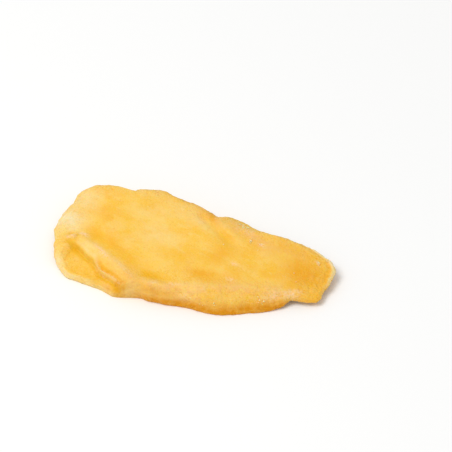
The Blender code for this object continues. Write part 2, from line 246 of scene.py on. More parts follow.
@dataclass(frozen=True)
class Rim:
    """Edge of the slice: how far it reaches, how it rolls down and how unevenly it was cut."""

    half_length: float = 60.0 * MM
    half_depth: float = 29.5 * MM
    thickness: float = 3.0 * MM
    thickness_at_tip: float = 1.0 * MM
    thins_from: Span = (-50.0, -22.0)
    thins_to: Span = (48.0, 80.0)
    lip_inset: float = 1.6 * MM
    lip_width: float = 1.3 * MM
    lip_underside_share: float = 0.6
    inner_roll_tighter: float = 0.7
    inner_roll_least: float = 0.25
    roll_share_per_width: float = 1.25
    roll_share_least: float = 0.16
    roll_share_most: float = 0.52
    pucker_count: int = 31
    pucker_depth: float = 0.25 * MM
    fine_pucker_count: int = 83
    fine_pucker_depth: float = 0.15 * MM
    pucker_swings: tuple[tuple[float, float, float], ...] = ((3.0, 1.7, 0.0), (5.0, 1.1, 1.0))
    pucker_strength_lobes: float = 4.0
    pucker_strength_swing: Span = (2.0, 2.0)
    stations: tuple[RimStation, ...] = RIM_STATIONS
    waves: tuple[tuple[int, float], ...] = ((7, 0.003), (11, 0.003), (17, 0.003))
    nicks: tuple[tuple[int, float], ...] = ((29, 0.0016), (43, 0.0016), (67, 0.0012), (97, 0.0008))
    notches: tuple[tuple[float, float, float], ...] = (
        (252.0, 4.5, 0.07),
        (328.5, 4.0, 0.036),
        (125.2, 2.6, 0.06),
        (112.0, 4.0, -0.065),
        (84.0, 3.5, 0.045),
        (259.5, 3.5, 0.02),
        (98.5, 3.0, -0.02),
        (223.0, 3.0, -0.016),
        (243.5, 3.5, -0.026),
    )

    def around(self, bearing: Array, name: str) -> Array:
        """Run a smooth closed curve through one value of each station.

        Args:
            bearing: Bearings in degrees, from 0 to 360.
            name: The station's field that the curve runs through.

        Returns:
            The curve's value at each bearing.
        """
        knots = np.array([station.bearing for station in self.stations], float)
        values = np.array([getattr(station, name) for station in self.stations], float)
        knots = np.concatenate([knots - 360.0, knots, knots + 360.0])
        values = np.concatenate([values, values, values])
        slopes = np.gradient(values, knots)
        here = np.clip(np.searchsorted(knots, bearing, side="right") - 1, 0, len(knots) - 2)
        span = knots[here + 1] - knots[here]
        share = (bearing - knots[here]) / span
        rise = share * share * (3.0 - 2.0 * share)
        leave = share * (1.0 - share) ** 2 * span
        arrive = share * share * (1.0 - share) * span
        return (
            values[here] * (1.0 - rise)
            + values[here + 1] * rise
            + slopes[here] * leave
            - slopes[here + 1] * arrive
        )

    def reach(self, bearing: Array) -> Array:
        """Reach of the rim as a share of the plan ellipse, with its waves, nicks and notches.

        Args:
            bearing: Bearings in degrees, from 0 to 360.

        Returns:
            The reach at each bearing.
        """
        total = self.around(bearing, "reach")
        for lobes, share in self.waves + self.nicks:
            total += share * np.sin(np.radians(lobes * bearing) + lobes)
        for middle, half_width, share in self.notches:
            total -= share * hump(bearing - middle, half_width)
        return total

    def edge(self, angle: Array) -> tuple[Array, Array, Array]:
        """Where the rim runs in plan.

        Args:
            angle: Angles on the plan ellipse, in radians.

        Returns:
            Places along X and along Y, and distances from the middle, in metres.
        """
        reach = self.reach(np.degrees(angle) % 360.0)
        x = self.half_length * reach * np.cos(angle)
        y = self.half_depth * reach * np.sin(angle)
        return x, y, np.hypot(x, y)

    def thickness_at(self, bearing: Array) -> Array:
        """Thickness of the rim, which thins round the tip, at bearings from 0 to 360 degrees."""
        signed = (bearing + 180.0) % 360.0 - 180.0
        return blend(self.thickness, self.thickness_at_tip, between(self.thins_from, self.thins_to, signed))

    def puckers(self, bearing: Array) -> Array:
        """Depth of the puckers that run up the rolled rims.

        Args:
            bearing: Bearings in degrees, from 0 to 360.

        Returns:
            Depths in metres, uneven around the rim.
        """
        turn = np.radians(bearing)
        phase = self.pucker_count * turn
        for lobes, swing, start in self.pucker_swings:
            phase = phase + swing * np.sin(lobes * turn + start)
        lobes, swing = self.pucker_strength_swing
        strength = np.sin(self.pucker_strength_lobes * turn + swing * np.sin(lobes * turn))
        fine = np.sin(phase * self.fine_pucker_count / self.pucker_count) * np.sin(2.0 * phase + 1.0)
        coarse = self.pucker_depth * (1.0 + strength) / 2.0 * (1.0 + np.sin(phase)) / 2.0
        return coarse + self.fine_pucker_depth * (1.0 + fine) / 2.0


@dataclass(frozen=True)
class Crown:
    """Height of the outer skin away from the rims and the pleat."""

    middle_height: float = 11.2 * MM
    rear_rise: float = 0.095
    right_fall: float = 5.6 * MM
    right_fall_start: float = 4.0 * MM
    right_fall_run: float = 50.0 * MM
    right_fall_power: float = 1.6
    left_fall: float = 2.4 * MM
    left_fall_start: float = -28.0 * MM
    left_fall_run: float = 30.0 * MM
    swell_height: float = 0.12 * MM
    swell_lengths: tuple[float, ...] = (37.0 * MM, 26.0 * MM, 19.0 * MM)
    swell_headings: tuple[float, ...] = (20.0, 75.0, 140.0)

    def height(self, x: Array, y: Array) -> Array:
        """Height of the crown over the plan.

        Args:
            x: Places along the slice, in metres.
            y: Places across it.

        Returns:
            Heights in metres.
        """
        right = np.clip((x - self.right_fall_start) / self.right_fall_run, 0.0, None)
        left = np.clip((self.left_fall_start - x) / self.left_fall_run, 0.0, None)
        total = self.middle_height + self.rear_rise * y
        total = total - self.right_fall * right**self.right_fall_power - self.left_fall * left**2
        for length, heading in zip(self.swell_lengths, self.swell_headings):
            along, _ = turned(x, y, heading)
            total = total + self.swell_height * np.sin(2.0 * math.pi * along / length + heading)
        return total


@dataclass(frozen=True)
class Pleat:
    """The front left corner's fold, from its pinch near the left rim to where it leaves the front edge."""

    start: tuple[float, float] = (-51.4 * MM, -8.2 * MM)
    end: tuple[float, float] = (-22.9 * MM, -31.1 * MM)
    bow: float = -0.15 * MM
    begins_over: float = 0.11
    step_start: float = 1.2 * MM
    step_end: float = 1.6 * MM
    step_grows: Span = (0.05, 0.45)
    step_half_width: float = 0.6 * MM
    underside_half_width: float = 3.0 * MM
    corner_rises_over: float = 8.0 * MM
    corner_stays_low_from: Span = (-0.25, 0.3)
    corner_droop: float = 0.25
    corner_droops_from: Span = (-0.3, 0.4)
    slope_drop_start: float = 0.9 * MM
    slope_drop_end: float = 2.8 * MM
    slope_drop_full_at: float = 0.8
    slope_foot: float = -0.2
    ridge_width_start: float = 3.2 * MM
    ridge_width_end: float = 6.6 * MM
    ridge_height: float = 0.7 * MM
    ridge_spread: float = 0.45
    trough_depth: float = 0.6 * MM
    trough_place: float = 2.3
    trough_spread: float = 0.9
    ridge_begins: Span = (-0.1, 0.1)
    ridge_ends: Span = (0.85, 1.1)
    wobble: float = 0.2 * MM
    wobble_lengths: tuple[float, ...] = (17.0 * MM, 9.5 * MM)
    edge_bend: float = 1.2 * MM
    edge_bends_over: Span = (0.58, 0.82)
    overhang: float = 0.6 * MM
    overhang_reach: float = 1.1 * MM
    overhang_from: Span = (0.0, 0.12)
    overhang_to: Span = (0.84, 0.96)
    lip: Strip = Strip(0.5 * MM, 0.55 * MM, 0.42 * MM)
    groove: Strip = Strip(1.5 * MM, 0.6 * MM, 0.62 * MM)
    foot: Strip = Strip(-0.8 * MM, 0.9 * MM, 0.3 * MM)
    doubled_from: Span = (0.36, 0.52)
    doubled_to: Span = (0.82, 0.92)
    foot_shade: Strip = Strip(-0.8 * MM, 0.65 * MM, 0.75)
    wall_shade: Strip = Strip(-0.1 * MM, 0.75 * MM, 0.6)
    wall_shade_lost: float = 0.5
    # Painted shade in the groove behind the lip.
    groove_shade: Strip = Strip(1.5 * MM, 0.6 * MM, 0.9)
    lip_bloom: Strip = Strip(0.5 * MM, 0.55 * MM, 0.45)
    edge_cream: Strip = Strip(1.3 * MM, 1.0 * MM, 0.45)

    def frame(self, x: Array, y: Array) -> tuple[Array, Array]:
        """Place along and beside the crease.

        Args:
            x: Places along the slice, in metres.
            y: Places across it.

        Returns:
            The share of the way along the crease, and the distance from it on the body's side.
        """
        along = self.direction()
        off_x = x - self.start[0]
        off_y = y - self.start[1]
        share = (off_x * along[0] + off_y * along[1]) / math.dist(self.start, self.end)
        aside = off_y * along[0] - off_x * along[1]
        return share, aside + self.bow * np.sin(math.pi * np.clip(share, 0.0, 1.0))

    def edge_frame(self, x: Array, y: Array) -> tuple[Array, Array]:
        """Place along the crease, and beside the wandering edge of the fold."""
        share, aside = self.frame(x, y)
        return share, aside + self.edge_wobble(share)

    def direction(self) -> Array:
        """Unit vector in plan along the crease, away from the pinch."""
        run = np.array(self.end) - np.array(self.start)
        return run / np.hypot(*run)

    def ridge_width(self, share: Array) -> Array:
        """Width of the slope from the ridge's top down to the crease."""
        return blend(self.ridge_width_start, self.ridge_width_end, np.clip(share, 0.0, 1.0))

    def fall(self, x: Array, y: Array, skin: Skin) -> Array:
        """How far the pleat lowers the flesh.

        Args:
            x: Places along the slice, in metres.
            y: Places across it.
            skin: The face that is lowered; the inner one follows softly.

        Returns:
            Falls in metres.
        """
        share, aside = self.frame(x, y)
        begun = smoothstep(0.0, self.begins_over, share)
        width = self.ridge_width(share)
        fallen = smoothstep(0.0, self.slope_drop_full_at, share)
        drop = blend(self.slope_drop_start, self.slope_drop_end, fallen)
        slope = drop * (1.0 - smoothstep(self.slope_foot, 1.0, aside / width))
        half_width = self.step_half_width if skin is Skin.OUTER else self.underside_half_width
        step = blend(self.step_start, self.step_end, smoothstep(*self.step_grows, share))
        edge = aside + self.edge_wobble(share) if skin is Skin.OUTER else aside
        step = step * (1.0 - smoothstep(-half_width, half_width, edge))
        risen = smoothstep(0.0, self.corner_rises_over, -aside)
        risen = risen * (1.0 - smoothstep(*self.corner_stays_low_from, share))
        droop = self.corner_droop * np.clip(-aside, 0.0, None) * smoothstep(*self.corner_droops_from, share)
        return begun * (slope + step) * (1.0 - risen) + droop

    def edge_wobble(self, share: Array) -> Array:
        """How far the fold's edge wanders from its line, and bends towards the body at its lower end.

        Args:
            share: Shares of the way along the crease.

        Returns:
            Distances in metres towards the folded corner.
        """
        way = 2.0 * math.pi * share * math.dist(self.start, self.end)
        swings = sum(np.sin(way / length + number) for number, length in enumerate(self.wobble_lengths))
        return self.wobble * swings - self.edge_bend * smoothstep(*self.edge_bends_over, share)

    def doubled(self, share: Array) -> Array:
        """Where the lower half of the fold's edge stands up as a thin lip with a groove behind it."""
        return between(self.doubled_from, self.doubled_to, share)

    def overhung(self, share: Array) -> Array:
        """Where the fold's edge overhangs the folded corner."""
        return between(self.overhang_from, self.overhang_to, share)

    def relief(self, x: Array, y: Array) -> Array:
        """Height of the ridge and of the trough behind it.

        Args:
            x: Places along the slice, in metres.
            y: Places across it.

        Returns:
            Heights in metres.
        """
        share, aside = self.frame(x, y)
        place = aside / self.ridge_width(share)
        ridge = self.ridge_height * hump(place - 1.0, self.ridge_spread)
        trough = self.trough_depth * hump(place - self.trough_place, self.trough_spread)
        return between(self.ridge_begins, self.ridge_ends, share) * (ridge - trough)

    def fine_relief(self, x: Array, y: Array) -> Array:
        """Height of the thin lip, the groove behind it and the crease at its foot, on the outer skin.

        Args:
            x: Places along the slice, in metres.
            y: Places across it.

        Returns:
            Heights in metres.
        """
        share, aside = self.edge_frame(x, y)
        doubled = self.doubled(share) * (self.lip.cover(aside) - self.groove.cover(aside))
        return doubled - self.overhung(share) * self.foot.cover(aside)

    def tints(self, x: Array, y: Array) -> dict[Tone, Array]:
        """Colours along the fold: painted shade as a dark line at its foot and on its wall, painted shade
        as a golden groove, a rosy lip and a pale edge.

        Args:
            x: Places along the slice, in metres.
            y: Places across it.

        Returns:
            Covers from 0 to 1 by tone.
        """
        share, aside = self.edge_frame(x, y)
        along = self.overhung(share)
        doubled = self.doubled(share)
        wall = self.wall_shade.cover(aside) * (1.0 - self.wall_shade_lost * doubled)
        return {
            Tone.SHADE: along * np.maximum(self.foot_shade.cover(aside), wall),
            Tone.GOLD_AND_SHADE: doubled * self.groove_shade.cover(aside),
            Tone.BLOOM: doubled * self.lip_bloom.cover(aside),
            Tone.CREAM: along * (1.0 - doubled) * self.edge_cream.cover(aside),
        }

    def lean(self, x: Array, y: Array) -> Array:
        """Sideways lean that makes the fold's edge overhang the folded corner.

        Args:
            x: Places along the slice, in metres.
            y: Places across it.

        Returns:
            Leans in plan, in metres, two numbers each.
        """
        share, aside = self.edge_frame(x, y)
        along = self.direction()
        quarter_turns = math.pi * np.clip(aside / self.overhang_reach, -1.0, 1.0) / 2.0
        lean = -self.overhang * self.overhung(share) * np.sin(quarter_turns)
        lean = lean * hump(aside, 2.0 * self.overhang_reach)
        return lean[..., None] * np.array([-along[1], along[0]])


@dataclass(frozen=True)
class Fold:
    """A low ridge along a line in plan, with a shallow trough on its left side seen from its start."""

    line: tuple[tuple[float, float], ...]
    height: float
    half_width: float
    trough: float = 0.0
    trough_aside: float = 2.0
    trough_widens: float = 1.2
    fades_in: float = 0.2
    fades_out: float = 0.2

    def relief(self, x: Array, y: Array) -> Array:
        """Height of the ridge less its trough.

        Args:
            x: Places along the slice, in metres.
            y: Places across it.

        Returns:
            Heights in metres.
        """
        nearest = np.ones(x.shape)
        side = np.zeros(x.shape)
        place = np.zeros(x.shape)
        count = len(self.line) - 1
        for number, (first, last) in enumerate(itertools.pairwise(np.array(self.line))):
            run = last - first
            share = ((x - first[0]) * run[0] + (y - first[1]) * run[1]) / run.dot(run)
            held = np.clip(share, 0.0, 1.0)
            off_x = x - first[0] - held * run[0]
            off_y = y - first[1] - held * run[1]
            distance = np.hypot(off_x, off_y)
            closer = distance < nearest
            nearest = np.where(closer, distance, nearest)
            side = np.where(closer, run[0] * off_y - run[1] * off_x, side)
            place = np.where(closer, (number + held) / count, place)
        signed = nearest * np.sign(side)
        fade = between((0.0, self.fades_in), (1.0 - self.fades_out, 1.0), place)
        aside = signed / self.half_width
        trough = self.trough * hump(aside - self.trough_aside, self.trough_widens)
        return fade * (self.height * hump(aside, 1.0) - trough)


@dataclass(frozen=True)
class Patch:
    """A soft oval in plan, longer along its heading."""

    place: tuple[float, float]
    half_length: float
    half_width: float
    heading: float = 0.0

    def cover(self, x: Array, y: Array) -> Array:
        """How far the patch covers each place, from 0 to 1."""
        along, aside = turned(x - self.place[0], y - self.place[1], self.heading)
        return hump(np.hypot(along / self.half_length, aside / self.half_width), 1.0)


@dataclass(frozen=True)
class Dent:
    """A hollow, or a bump where its depth is negative."""

    patch: Patch
    depth: float


@dataclass(frozen=True)
class Crinkle:
    """Fine parallel ridges in a patch, running along their heading."""

    patch: Patch
    spacing: float
    heading: float
    height: float
    bend: float = 0.9
    bend_slant: float = 0.37
    bend_start: float = 2.0

    def relief(self, x: Array, y: Array) -> Array:
        """Height of the ridges.

        Args:
            x: Places along the slice, in metres.
            y: Places across it.

        Returns:
            Heights in metres.
        """
        along, aside = turned(x, y, self.heading)
        phase = 2.0 * math.pi * aside / self.spacing
        slanted = np.sin(self.bend_slant * phase + self.bend_start)
        phase = phase + self.bend * (np.sin(along / self.spacing) + slanted)
        return self.height * self.patch.cover(x, y) * np.sin(phase)


@dataclass(frozen=True)
class Mark:
    """A patch of one tone."""

    tone: Tone
    strength: float
    patch: Patch


def oval(x: float, y: float, half_length: float, half_width: float, heading: float = 0.0) -> Patch:
    """Patch from its place and sizes in millimetres, and its heading in degrees."""
    return Patch((x * MM, y * MM), half_length * MM, half_width * MM, heading)


def path(*places: tuple[float, float]) -> tuple[tuple[float, float], ...]:
    """Line through places in plan, in millimetres."""
    return tuple((x * MM, y * MM) for x, y in places)


FOLDS = (
    Fold(
        path((29.0, 3.6), (17.4, 6.7), (8.5, 12.4), (4.0, 16.4), (-3.5, 22.0)),
        0.45 * MM,
        1.9 * MM,
        trough=0.7 * MM,
        fades_in=0.4,
    ),
    Fold(
        path((-20.0, -25.0), (-4.0, -25.6), (12.0, -22.4), (28.0, -16.4), (46.0, -11.4)),
        0.3 * MM,
        2.2 * MM,
        trough=0.25 * MM,
    ),
    Fold(
        path((-27.4, -26.0), (-25.6, -26.9), (-23.8, -27.1), (-22.2, -27.1), (-21.4, -28.4), (-21, -30.2)),
        -0.6 * MM,
        0.5 * MM,
    ),
)

DENTS = (
    Dent(oval(8.3, -15.4, 7.0, 3.6, -6.0), 0.45 * MM),
    Dent(oval(-12.0, -20.6, 8.0, 2.6, -12.0), 0.45 * MM),
    Dent(oval(-41.0, -3.6, 6.5, 2.4, -18.0), 0.35 * MM),
    Dent(oval(47.5, -3.0, 7.0, 7.0), 0.45 * MM),
    Dent(oval(-50.3, -7.8, 1.9, 1.0, 20.0), -0.9 * MM),
    Dent(oval(-48.0, -6.9, 0.5, 1.6, -20.0), 0.7 * MM),
    Dent(oval(-50.6, -5.7, 2.4, 0.6, 20.0), 0.5 * MM),
    Dent(oval(-50.2, -10.3, 2.6, 1.0, -36.0), 0.5 * MM),
    Dent(oval(-15.4, -11.8, 0.6, 1.4, 80.0), 0.15 * MM),
    Dent(oval(15.1, 4.2, 1.6, 0.8, 30.0), 0.15 * MM),
    Dent(oval(-6.0, -26.4, 3.0, 1.6, 10.0), -0.2 * MM),
    Dent(oval(22.0, -20.0, 3.4, 1.8, 20.0), -0.2 * MM),
)

CRINKLES = (
    Crinkle(oval(45.5, -13.6, 6.0, 3.0, 20.0), 1.8 * MM, 70.0, 0.12 * MM),
    Crinkle(oval(34.0, -19.6, 6.0, 2.4, 14.0), 1.8 * MM, 66.0, 0.09 * MM),
    Crinkle(oval(-34.0, -25.0, 8.0, 2.4, -34.0), 2.2 * MM, 58.0, 0.14 * MM),
    Crinkle(oval(-53.0, 4.0, 5.0, 11.0), 2.4 * MM, 8.0, 0.07 * MM),
    Crinkle(oval(-20.0, 24.0, 18.0, 3.4, -6.0), 2.6 * MM, 84.0, 0.09 * MM),
    Crinkle(oval(22.0, 11.0, 14.0, 3.6, -24.0), 1.9 * MM, 58.0, 0.08 * MM),
)

MARKS = tuple(
    Mark(tone, strength, oval(*sizes))
    for tone, rows in {
        Tone.CREAM: (
            (1.0, -56.0, 2.5, 5.0, 5.5),
            (0.5, -51.0, 13.0, 7.0, 8.0),
            (1.0, -54.5, 1.5, 6.5, 6.5),
            (0.85, -52.0, -19.5, 2.6, 4.0, 30.0),
            (0.15, -30.0, 22.0, 16.0, 5.0, 8.0),
            (0.32, -14.0, 0.0, 6.0, 10.0, 80.0),
            (0.24, -20.0, 12.0, 12.0, 5.0, 10.0),
            (0.28, -9.0, 15.0, 9.0, 4.0, -20.0),
            (0.32, 0.0, 10.5, 6.0, 3.0, -30.0),
            (0.4, -41.5, -12.0, 7.0, 1.8, -36.0),
        ),
        Tone.GOLD_AND_SHADE: (
            # Painted shade in the rows at (-42, -3.2), (-31, -9), (8.3, -15.8), (5.5, 14.6) and (-24.4,
            # -28.4): a dent, the trough behind the fold's ridge, the shoulder's dent, the valley beside the
            # rear crest and the fold's lower end. The other rows are golden flesh.
            (0.4, -42.0, -3.2, 5.5, 2.4, -18.0),
            (0.35, 37.0, 9.0, 8.0, 3.0, -18.0),
            (1.0, -24.4, -28.4, 3.2, 2.6),
            (0.5, -18.5, -24.8, 4.4, 1.8, -8.0),
            (0.5, -31.0, -9.0, 7.0, 2.0, -38.0),
            (0.7, 8.3, -15.8, 6.5, 2.8, -4.0),
            (0.45, 13.0, -3.0, 7.0, 6.0, 40.0),
            (0.7, 5.5, 14.6, 6.0, 1.3, -44.0),
            (0.85, 48.0, -2.0, 9.5, 8.0),
            (0.35, -40.4, 8.0, 7.0, 4.0),
        ),
        Tone.HONEY_AND_SHADE: (
            # Painted shade in the rows at (-12.5, -21) in the shoulder's second dent and (-48, -12) in the
            # pit under the pinch. The other rows are clear golden flesh.
            (0.95, -12.5, -21.0, 7.5, 2.2, -10.0),
            (0.9, -48.0, -12.0, 4.5, 2.4, -42.0),
            (0.45, -39.5, -22.2, 12.0, 3.4, -40.0),
            (0.4, -30.0, -20.5, 9.0, 1.6, -38.0),
            (0.35, 0.0, -9.5, 10.0, 4.0),
        ),
        Tone.SALMON: (
            (0.65, -1.0, -25.6, 20.0, 3.0, 2.0),
            (0.7, -29.4, -26.4, 2.4, 1.4, -30.0),
            (0.6, 24.0, -18.5, 18.0, 3.4, 16.0),
            (0.6, 22.0, 10.0, 14.0, 3.2, -22.0),
            (0.35, 40.0, 7.0, 8.0, 4.0, -14.0),
            (0.4, -2.0, 17.0, 5.0, 4.0),
            (0.4, 43.0, -14.0, 8.0, 2.6, 28.0),
        ),
        Tone.BLOOM: (
            # Painted highlight in the rows at (-35, -14.4) and (-24.5, -20.4) along the fold's ridge, (52,
            # 5.3) at a glint, and (-45.6, -5.9) and (-50.3, -7.8) at the pinch; the other rows are sugar
            # bloom.
            (0.75, -35.0, -14.4, 5.0, 1.2, -38.0),
            (0.35, -24.5, -20.4, 7.0, 1.0, -38.0),
            (0.5, -10.3, -24.8, 1.8, 1.1),
            (0.5, -2.9, -23.6, 3.2, 1.0, 5.0),
            (0.4, 3.6, -26.7, 2.2, 1.2),
            (0.6, 19.8, -15.4, 2.0, 1.0),
            (0.6, 19.4, -6.7, 1.5, 1.0),
            (0.35, 19.0, 12.4, 8.0, 2.4, -26.0),
            (0.9, 52.0, 5.3, 1.2, 0.6, -52.0),
            (0.6, 27.5, 6.3, 1.8, 1.0, -20.0),
            (0.7, 45.8, -13.6, 4.4, 1.6, 28.0),
            (0.55, 38.6, -17.0, 5.0, 1.6, 28.0),
            (1.0, -45.6, -5.9, 2.4, 0.9, -20.0),
            (1.0, -50.3, -7.8, 1.8, 1.0, 20.0),
        ),
        Tone.DEEP_SHADE: (
            # All of these are painted shade: the rear edge, the valley beside the rear crest, the end of
            # the fold's crease, the low front band and the flap's low corner.
            (0.4, -12.0, 23.0, 10.0, 2.5, -12.0),
            (0.3, 1.0, 19.5, 6.0, 2.0, -30.0),
            (0.3, 4.6, 13.6, 6.0, 0.9, -46.0),
            (0.2, 13.5, 6.6, 5.0, 0.9, -28.0),
            (0.7, -24.2, -27.0, 2.4, 0.5),
            (0.45, -24.3, -28.8, 2.4, 2.2),
            (0.55, -21.7, -28.4, 0.5, 1.7),
            (0.5, -8.0, -27.8, 9.0, 1.2, -3.0),
            (0.5, 9.0, -28.2, 9.0, 1.1, 3.0),
            (0.35, -29.0, -27.6, 1.8, 0.8, -30.0),
        ),
        Tone.SHADE: (
            (0.6, -24.2, -28.2, 2.4, 2.2),
            (0.6, -49.6, -10.6, 3.0, 1.1, -38.0),
            (0.7, -48.0, -6.9, 0.6, 1.5, -20.0),
            (0.5, -50.6, -5.7, 2.2, 0.7, 20.0),
            (0.35, -35.5, -25.6, 3.4, 1.5, -38.0),
            (0.5, -44.8, -15.2, 4.0, 1.0, -40.0),
        ),
    }.items()
    for strength, *sizes in rows
)


@dataclass(frozen=True)
class PaleEdge:
    """A stretch of rim that dried pale, with its bearing and width in degrees and how far in it goes."""

    bearing: float
    half_width: float
    strength: float
    inset: float
    softness: float = 0.3

    def cover(self, inset: Array, bearing: Array) -> Array:
        """How far the pale edge covers each place.

        Args:
            inset: How far in from the rim the places lie, in metres.
            bearing: Their bearings in degrees.

        Returns:
            Shares from 0 to 1.
        """
        turn = (bearing - self.bearing + 180.0) % 360.0 - 180.0
        depth = 1.0 - smoothstep(1.0 - self.softness, 1.0 + self.softness, inset / self.inset)
        return self.strength * hump(turn, self.half_width) * depth


PALE_EDGES = (
    PaleEdge(6.0, 12.0, 0.8, 1.4 * MM),
    PaleEdge(19.0, 12.0, 0.95, 2.0 * MM),
    PaleEdge(33.0, 15.0, 0.95, 2.7 * MM),
    PaleEdge(-14.0, 8.0, 0.2, 1.0 * MM),
    PaleEdge(-139.0, 13.0, 0.6, 1.8 * MM),
    PaleEdge(-122.0, 14.0, 0.5, 1.0 * MM),
    PaleEdge(120.0, 30.0, 0.4, 1.6 * MM),
)


@dataclass(frozen=True)
class Wrinkling:
    """Random relief of one skin: swells, wrinkles and grain, each with its depth and spacing."""

    swell: float
    swell_spacing: float
    wrinkle: float
    wrinkle_spacing: float
    wrinkle_stretch: float
    wrinkle_heading: float
    grain: float
    grain_spacing: float
    seed: int
    swell_stretch: float = 1.6
    wrinkle_crest: float = 0.5
    wrinkle_sharpness: float = 2.0
    patch_size: float = 9.0 * MM
    bend: float = 0.6
    bend_spacing: float = 2.2
    bend_shift: float = 50.0 * MM

    def relief(self, points: Array) -> Array:
        """Height of the relief over the skin's points.

        Args:
            points: The skin's points, in metres.

        Returns:
            Heights in metres.
        """
        bend = Swellings(self.seed, self.bend_spacing * self.wrinkle_spacing)
        shifts = (0.0, self.bend_shift, -self.bend_shift)
        bent = np.stack([bend.height(points + shift) for shift in shifts], -1)
        warped = points + self.bend * self.wrinkle_spacing * bent
        swell = Swellings(self.seed + 1, self.swell_spacing, self.swell_stretch, self.wrinkle_heading)
        lines = Swellings(self.seed + 2, self.wrinkle_spacing, self.wrinkle_stretch, self.wrinkle_heading)
        wrinkle = self.wrinkle_crest - self.wrinkle_sharpness * np.abs(lines.height(warped))
        grain = Swellings(self.seed + 3, self.grain_spacing).height(warped)
        patchy = 0.5 + 0.5 * Swellings(self.seed + 4, self.patch_size).height(points)
        return self.swell * swell.height(points) + patchy * self.wrinkle * wrinkle + self.grain * grain


